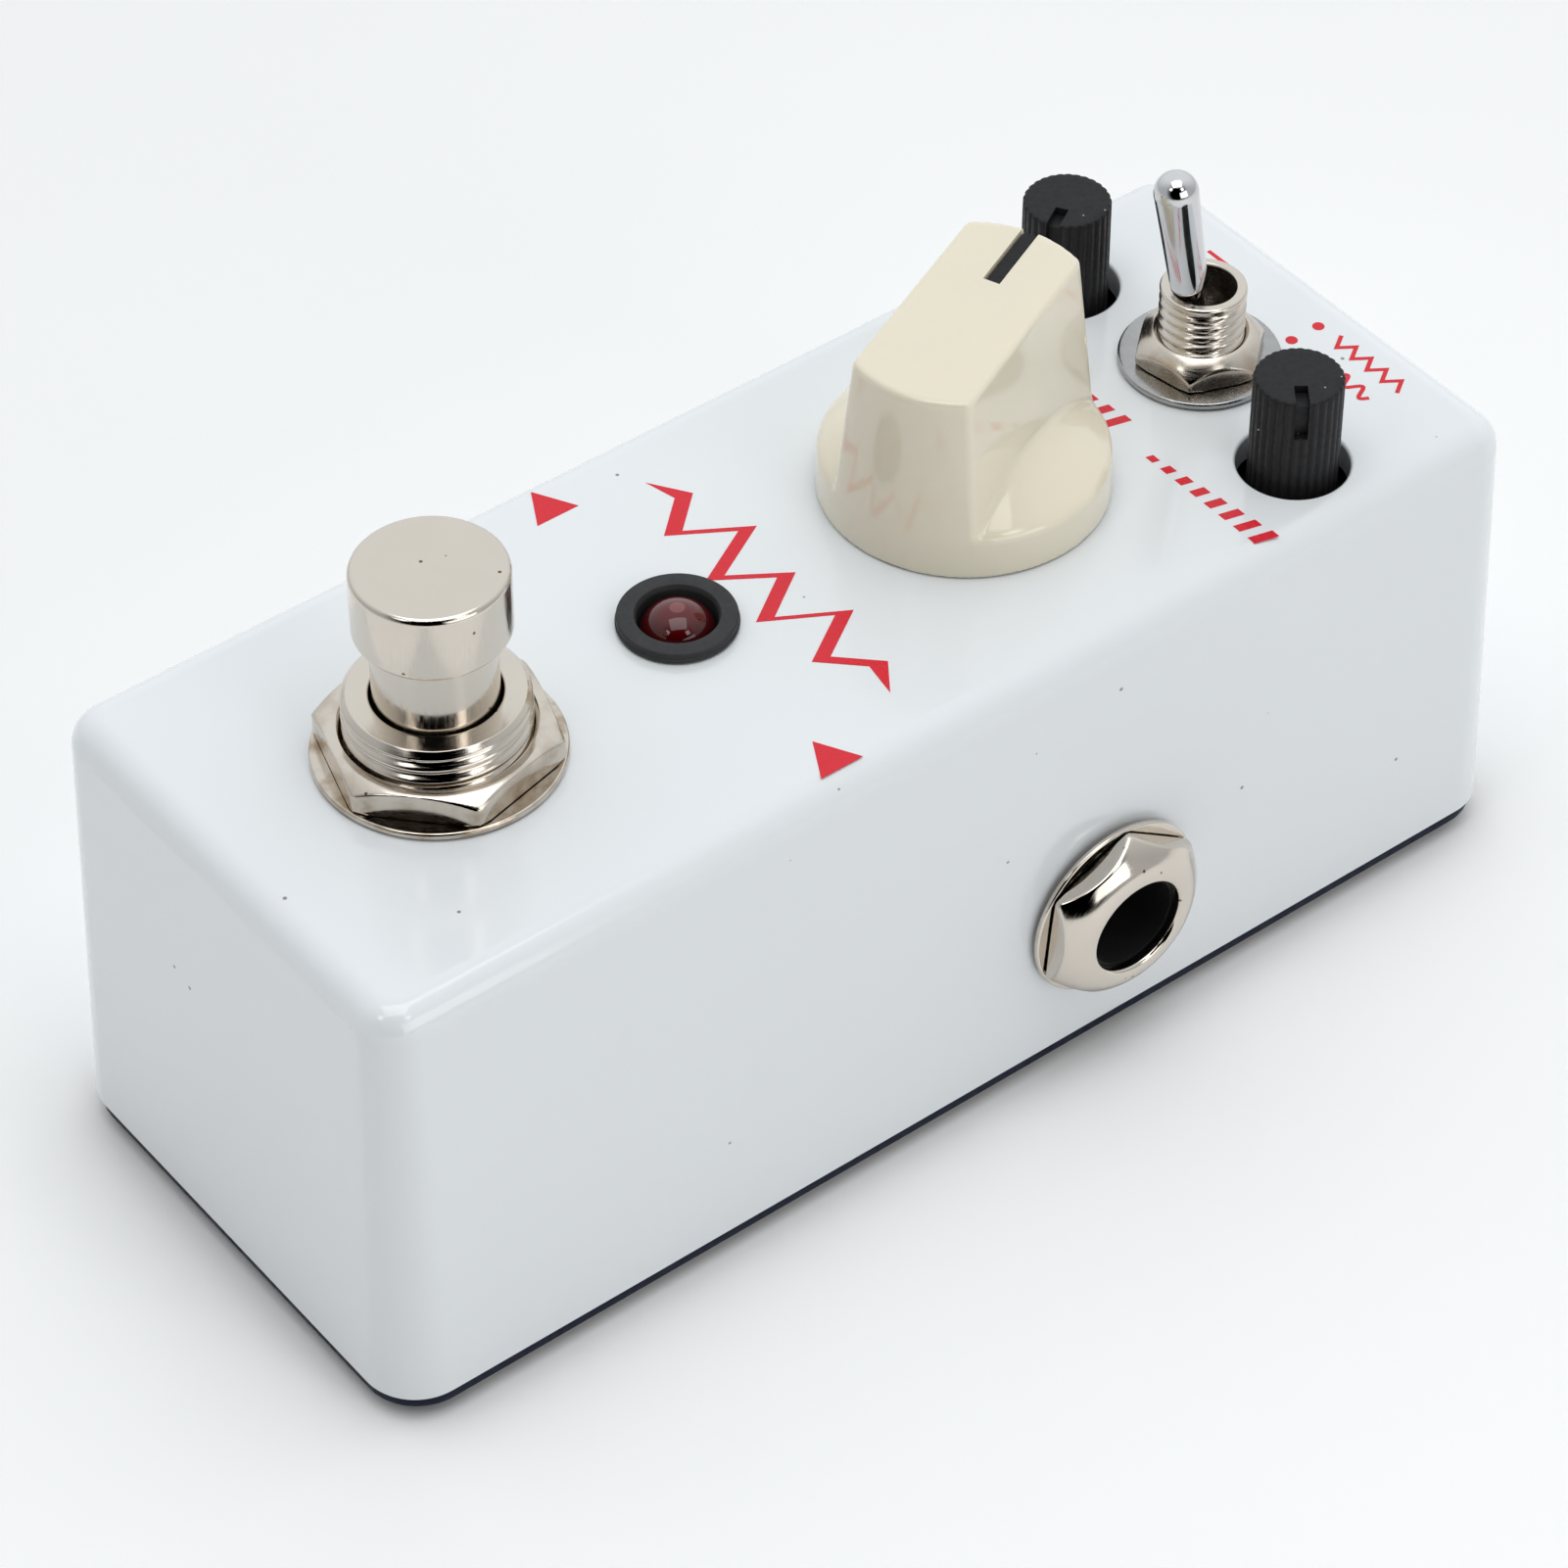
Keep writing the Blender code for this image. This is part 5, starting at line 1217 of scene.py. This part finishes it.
def jack_nut_outline(flats, bottom, top):
    """A nut whose domed face turns in over the nose, down to the edge of the bore."""
    corner = flats / math.sqrt(3) + NUT_REACH
    lip, nose, lip_start, rounding = 3.5 * MM, 4.7 * MM, top - 0.7 * MM, 0.35 * MM
    land = lip + rounding
    outline = [(nose, bottom)] + crown(corner, land, top, top - bottom - GAP, 2, 22)
    for step in range(1, ARC_STEPS + 1):
        angle = math.pi / 2 * step / ARC_STEPS
        outline.append((land - rounding * math.sin(angle), top - rounding * (1 - math.cos(angle))))
    outline += [(lip, lip_start), (nose, lip_start)]
    return resampled(outline, NUT_STEP)


def nosed_box(half_x, half_y, start, shoulder, edge, nose, end, rounding):
    """A box with rounded edges, and a round nose that stands out of its front as far as end."""
    body = soft_box("body", (-half_x, -half_y, start), (half_x, half_y, shoulder), edge)
    root = shoulder - OVERSHOOT
    fuse(body, turned("nose", softened([(0.0, root), (nose, root), (nose, end, rounding), (0.0, end)])))
    return body


def build_jack_body(name, side, place, span):
    start, end, _ = span
    low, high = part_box(name + "_body")
    half_y, half_z = (high.y - low.y) / 2, (high.z - low.z) / 2
    nose, bore, shoulder = 4.6 * MM, 3.35 * MM, -2.5 * MM
    body = nosed_box(half_z, half_y, start, shoulder, 0.5 * MM, nose, end, 0.2 * MM)
    cut(body, cylinder("bore", bore, start - OVERSHOOT, end + OVERSHOOT))
    slot_start, slot_length, slot_half = start + OVERSHOOT, 10.0 * MM, 1.7 * MM
    low_edge, high_edge = sorted((0.0, -side * (half_z + OVERSHOOT)))
    slot_low = (low_edge, -slot_half, slot_start)
    slot_high = (high_edge, slot_half, slot_start + slot_length)
    cut(body, soft_box("slot", slot_low, slot_high, 0.0))
    present(body, name + "_body", "black_plastic", place)


def build_dc_socket():
    place = rear_frame()
    face = place.translation.y
    low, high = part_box("dc_socket_body")
    start, end = low.y - face, high.y - face
    half_x, half_z = (high.x - low.x) / 2, (high.z - low.z) / 2
    nose, bore, bore_depth, shoulder = 4.0 * MM, 3.0 * MM, 10.5 * MM, end - 2.0 * MM
    body = nosed_box(half_x, half_z, start, shoulder, 0.4 * MM, nose, end, 0.25 * MM)
    mouth = end + 0.01 * MM  # just proud of the face, so that no two faces lie in one plane
    cut(body, hole_cutter(bore, bore_depth), Matrix.Translation((0.0, 0.0, mouth)))
    pin_low, pin_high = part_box("dc_socket_pin")
    pin_start, pin_end = pin_low.y - face, pin_high.y - face
    radius = (pin_high.x - pin_low.x) / 2
    cut(body, cylinder("hole", radius + GAP, pin_start - GAP, pin_end))
    present(body, "dc_socket_body", "black_plastic", place)
    outline = [(0.0, pin_start), (radius, pin_start, 0.1 * MM), (radius, pin_end, 0.6 * MM), (0.0, pin_end)]
    present(turned("pin", softened(outline), 48), "dc_socket_pin", "nickel", place)


# ---- printed marks
def ribbon(bm, path, width, closed=False):
    """A flat printed line along (x, y) points, as a thin closed solid on the panel."""
    count = len(path)
    sides = []
    for i, point in enumerate(path):
        here = Vector(point)
        before = here - Vector(path[i - 1]) if closed or i else Vector(path[1]) - here
        after = Vector(path[(i + 1) % count]) - here if closed or i < count - 1 else before
        one = Vector((-before.y, before.x)).normalized()
        two = Vector((-after.y, after.x)).normalized()
        normal = (one + two).normalized()
        reach = width / 2 / max(normal.dot(one), 0.45)
        sides.append((here + normal * reach, here - normal * reach))
    low, high = PRINT_THICKNESS * 0.1, PRINT_THICKNESS
    corners = [[bm.verts.new((*side, z)) for side in pair for z in (low, high)] for pair in sides]
    for i in range(count if closed else count - 1):
        a, b = corners[i], corners[(i + 1) % count]
        for p, q in ((0, 1), (1, 3), (3, 2), (2, 0)):
            bm.faces.new((a[p], b[p], b[q], a[q]))
    if not closed:
        for end in (corners[0], corners[-1]):
            bm.faces.new((end[0], end[1], end[3], end[2]))


def patch(bm, outline):
    """A printed area inside an outline of (x, y) points."""
    low, high = PRINT_THICKNESS * 0.1, PRINT_THICKNESS
    lower = [bm.verts.new((x, y, low)) for x, y in outline]
    upper = [bm.verts.new((x, y, high)) for x, y in outline]
    bm.faces.new(lower)
    bm.faces.new(upper)
    for i in range(len(outline)):
        j = (i + 1) % len(outline)
        bm.faces.new((lower[i], lower[j], upper[j], upper[i]))


def arc(x, y, radius, start=0.0, finish=360.0, steps=32):
    count = steps if finish - start == 360.0 else steps + 1
    angles = [math.radians(start + (finish - start) * k / steps) for k in range(count)]
    return [(x + radius * math.cos(angle), y + radius * math.sin(angle)) for angle in angles]


def print_mark(name, draw):
    """One printed piece; draw adds its solids to the bmesh, in millimetres on the panel."""
    bm = bmesh.new()
    draw(bm)
    for vertex in bm.verts:
        vertex.co.x *= MM
        vertex.co.y *= MM
    mark = make_object(name, bm)
    mark.data.materials.append(MATERIALS["red_print"])
    mark.matrix_world = Matrix.Translation((0.0, 0.0, PANEL))
    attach(mark, BODIES["enclosure_shell"])


def draw_burst(bm):
    """A jagged waveform across the panel, drawn with a slanted broad nib: heavy falling, light rising."""
    heights = (0.0, 1.2, -1.6, 2.5, -2.1, 1.7, -2.0, 2.4, -1.5, 1.1, 0.0)
    left, step, middle = -12.6, 2.56, -3.3
    nib_x, nib_y = 0.17, 0.62
    peaks = [(left + step * k, middle + height) for k, height in enumerate(heights)]
    upper = [(x + nib_x, y + nib_y) for x, y in peaks]
    lower = [(x - nib_x, y - nib_y) for x, y in peaks]
    patch(bm, [peaks[0]] + upper[1:-1] + [peaks[-1]] + lower[-2:0:-1])


def draw_arrow(x, y):
    """A triangle that points to the left."""
    return lambda bm: patch(bm, [(x - 1.5, y), (x + 1.5, y - 1.65), (x + 1.5, y + 1.65)])


def draw_level(left):
    """A row of slanted bars that grow to the right."""

    def draw(bm):
        for k in range(8):
            x = left + 1.45 * k
            height = 0.55 + 0.17 * k
            low = 24.1
            slant = 0.25 * height
            right = x + 0.7
            patch(bm, [(x, low), (right, low), (right + slant, low + height), (x + slant, low + height)])

    return draw


def draw_modes(bm):
    """Two dots, with a sharp wave beside one and a round wave beside the other."""
    for y in (42.1, 39.7):
        patch(bm, arc(2.3, y, 0.42))
    zigzag = [(4.0 + 0.75 * k, 42.1 + 0.55 * (-1) ** k) for k in range(10)]
    ribbon(bm, zigzag, 0.3)
    wave = [(4.0 + 0.1 * k, 39.7 + 0.5 * math.sin(k * 0.42)) for k in range(61)]
    ribbon(bm, wave, 0.3)


def draw_supply(bm):
    """The direct-current symbol, a solid line over three dashes, beside a centre-contact symbol."""
    ribbon(bm, arc(-10.2, 41.2, 0.8), 0.24, closed=True)
    patch(bm, arc(-10.2, 41.2, 0.28))
    ribbon(bm, [(-8.4, 41.6), (-5.0, 41.6)], 0.3)
    for x in (-8.4, -7.1, -5.8):
        ribbon(bm, [(x, 40.8), (x + 0.8, 40.8)], 0.3)


def build_prints():
    print_mark("wave_print", draw_burst)
    print_mark("arrow_print_left", draw_arrow(-14.95, -9.75))
    print_mark("arrow_print_right", draw_arrow(15.0, -9.9))
    print_mark("level_print_left", draw_level(-9.2))
    print_mark("level_print_right", draw_level(5.5))
    print_mark("mode_print", draw_modes)
    print_mark("supply_print", draw_supply)


# ---- carried-over CAD nodes
def finish_hidden_parts():
    """The nodes that stay as solids get their materials, and softened edges where they are boxes."""
    softened_edges = ("body", "base", "board", "header", "terminal", "lug", "rocker")
    for node, obj in frame["nodes"].items():
        if obj.hide_render:
            continue
        obj.data.materials.clear()
        obj.data.materials.append(MATERIALS[SLOTS[node]])
        if any(word in node for word in softened_edges):
            bevel = obj.modifiers.new("soft_edges", "BEVEL")
            bevel.width = 0.12 * MM
            bevel.segments = 2
            bevel.limit_method = "ANGLE"
            bevel.angle_limit = math.radians(60)


# ---- stage
def direction_to(azimuth, elevation):
    """The unit direction from the pedal to a point, in degrees: azimuth 0 is in front, 90 to the right."""
    azimuth, elevation = math.radians(azimuth), math.radians(elevation)
    flat = math.cos(elevation)
    return Vector((math.sin(azimuth) * flat, -math.cos(azimuth) * flat, math.sin(elevation)))


VIEW_BACK = direction_to(52.216, 43.647)
VIEW_ROLL = math.radians(-0.082)
VIEW_DISTANCE = 381.876 * MM
VIEW_SHIFT_RIGHT = 1.316 * MM
VIEW_SHIFT_UP = 1.172 * MM
TARGET_HEIGHT = 15.0 * MM  # above the shell's rim
WORLD_COLOUR = (0.95, 0.98, 1.0)
WORLD_STRENGTH = 0.565
WORLD_ZONES = (  # direction, cosines where the zone starts and is full, what it adds
    (direction_to(232.2, 43.6), 0.1, 0.9, 0.45),
    (direction_to(52.216, 34.0), 0.52, 0.9, -0.6),
)
SOFTBOXES = (  # name, azimuth, elevation, distance, width and height in metres, power in watts
    ("overhead", 60.0, 82.0, 0.62, 0.50, 0.40, 1.22),
    ("side", 92.0, 22.0, 0.60, 0.40, 0.30, 0.68),
    ("front_left", 8.0, 48.0, 0.50, 0.10, 0.10, 0.10),
    ("front_right", 96.0, 48.0, 0.50, 0.10, 0.10, 0.10),
)


def add_camera():
    """A long lens above the front right corner."""
    data = bpy.data.cameras.new("camera")
    data.sensor_width = 36.0
    data.lens = 131.98
    camera = bpy.data.objects.new("camera", data)
    bpy.context.scene.collection.objects.link(camera)
    turn = (-VIEW_BACK).to_track_quat("-Z", "Y") @ Quaternion((0.0, 0.0, 1.0), VIEW_ROLL)
    right = turn @ Vector((1.0, 0.0, 0.0))
    up = turn @ Vector((0.0, 1.0, 0.0))
    target = Vector((0.0, 0.0, RIM + TARGET_HEIGHT))
    camera.rotation_mode = "QUATERNION"
    camera.rotation_quaternion = turn
    camera.location = target + VIEW_BACK * VIEW_DISTANCE - right * VIEW_SHIFT_RIGHT - up * VIEW_SHIFT_UP
    bpy.context.scene.camera = camera


def add_softbox(name, azimuth, elevation, distance, width, height, power):
    """A rectangular light aimed at the pedal's middle."""
    data = bpy.data.lights.new(name, "AREA")
    data.shape = "RECTANGLE"
    data.size = width
    data.size_y = height
    data.energy = power
    light = bpy.data.objects.new(name, data)
    back = direction_to(azimuth, elevation)
    light.location = Vector((0.0, 0.0, PANEL)) + back * distance
    light.rotation_mode = "QUATERNION"
    light.rotation_quaternion = (-back).to_track_quat("-Z", "Y")
    bpy.context.scene.collection.objects.link(light)


def add_world():
    """A pale studio: bright on the wall behind the pedal, dim around the camera."""
    world = bpy.data.worlds.new("studio")
    bpy.context.scene.world = world
    world.use_nodes = True
    g = Tree(world.node_tree)
    direction = g.nodes.new("ShaderNodeTexCoord").outputs["Generated"]
    strength = WORLD_STRENGTH
    for towards, start, stop, gain in WORLD_ZONES:
        facing = g.nodes.new("ShaderNodeVectorMath")
        facing.operation = "DOT_PRODUCT"
        g.feed(facing.inputs[0], direction)
        g.feed(facing.inputs[1], towards)
        strength = g.math("ADD", strength, g.span(facing.outputs["Value"], 0.0, gain, start, stop))
    background = g.nodes["Background"]
    g.feed(background.inputs["Color"], (*WORLD_COLOUR, 1.0))
    g.feed(background.inputs["Strength"], strength)


def add_floor():
    g = Graph("pale_floor", (0.97, 0.97, 0.97), 0.7)
    g.set("Base Color", g.mix(g.noise(30.0, 3.0), (0.965, 0.965, 0.965), (0.975, 0.975, 0.975)))
    g.uneven(0.62, 0.8, 90.0)
    bm = bmesh.new()
    bmesh.ops.create_grid(bm, x_segments=4, y_segments=4, size=3.0)
    floor = make_object("floor", bm)
    floor.location.z = -0.02 * MM
    floor.data.materials.append(g.material)


def set_stage():
    bpy.context.scene.view_settings.view_transform = "Standard"
    add_camera()
    add_world()
    add_floor()
    for softbox in SOFTBOXES:
        add_softbox(*softbox)


MATERIALS = make_materials()
build_shell()
build_base()
build_footswitch()
build_lamp()
build_large_knob()
build_small_knob("left_knob")
build_small_knob("right_knob")
build_toggle()
build_jack("input_jack", 1)
build_jack("output_jack", -1)
build_dc_socket()
build_prints()
finish_hidden_parts()
set_stage()
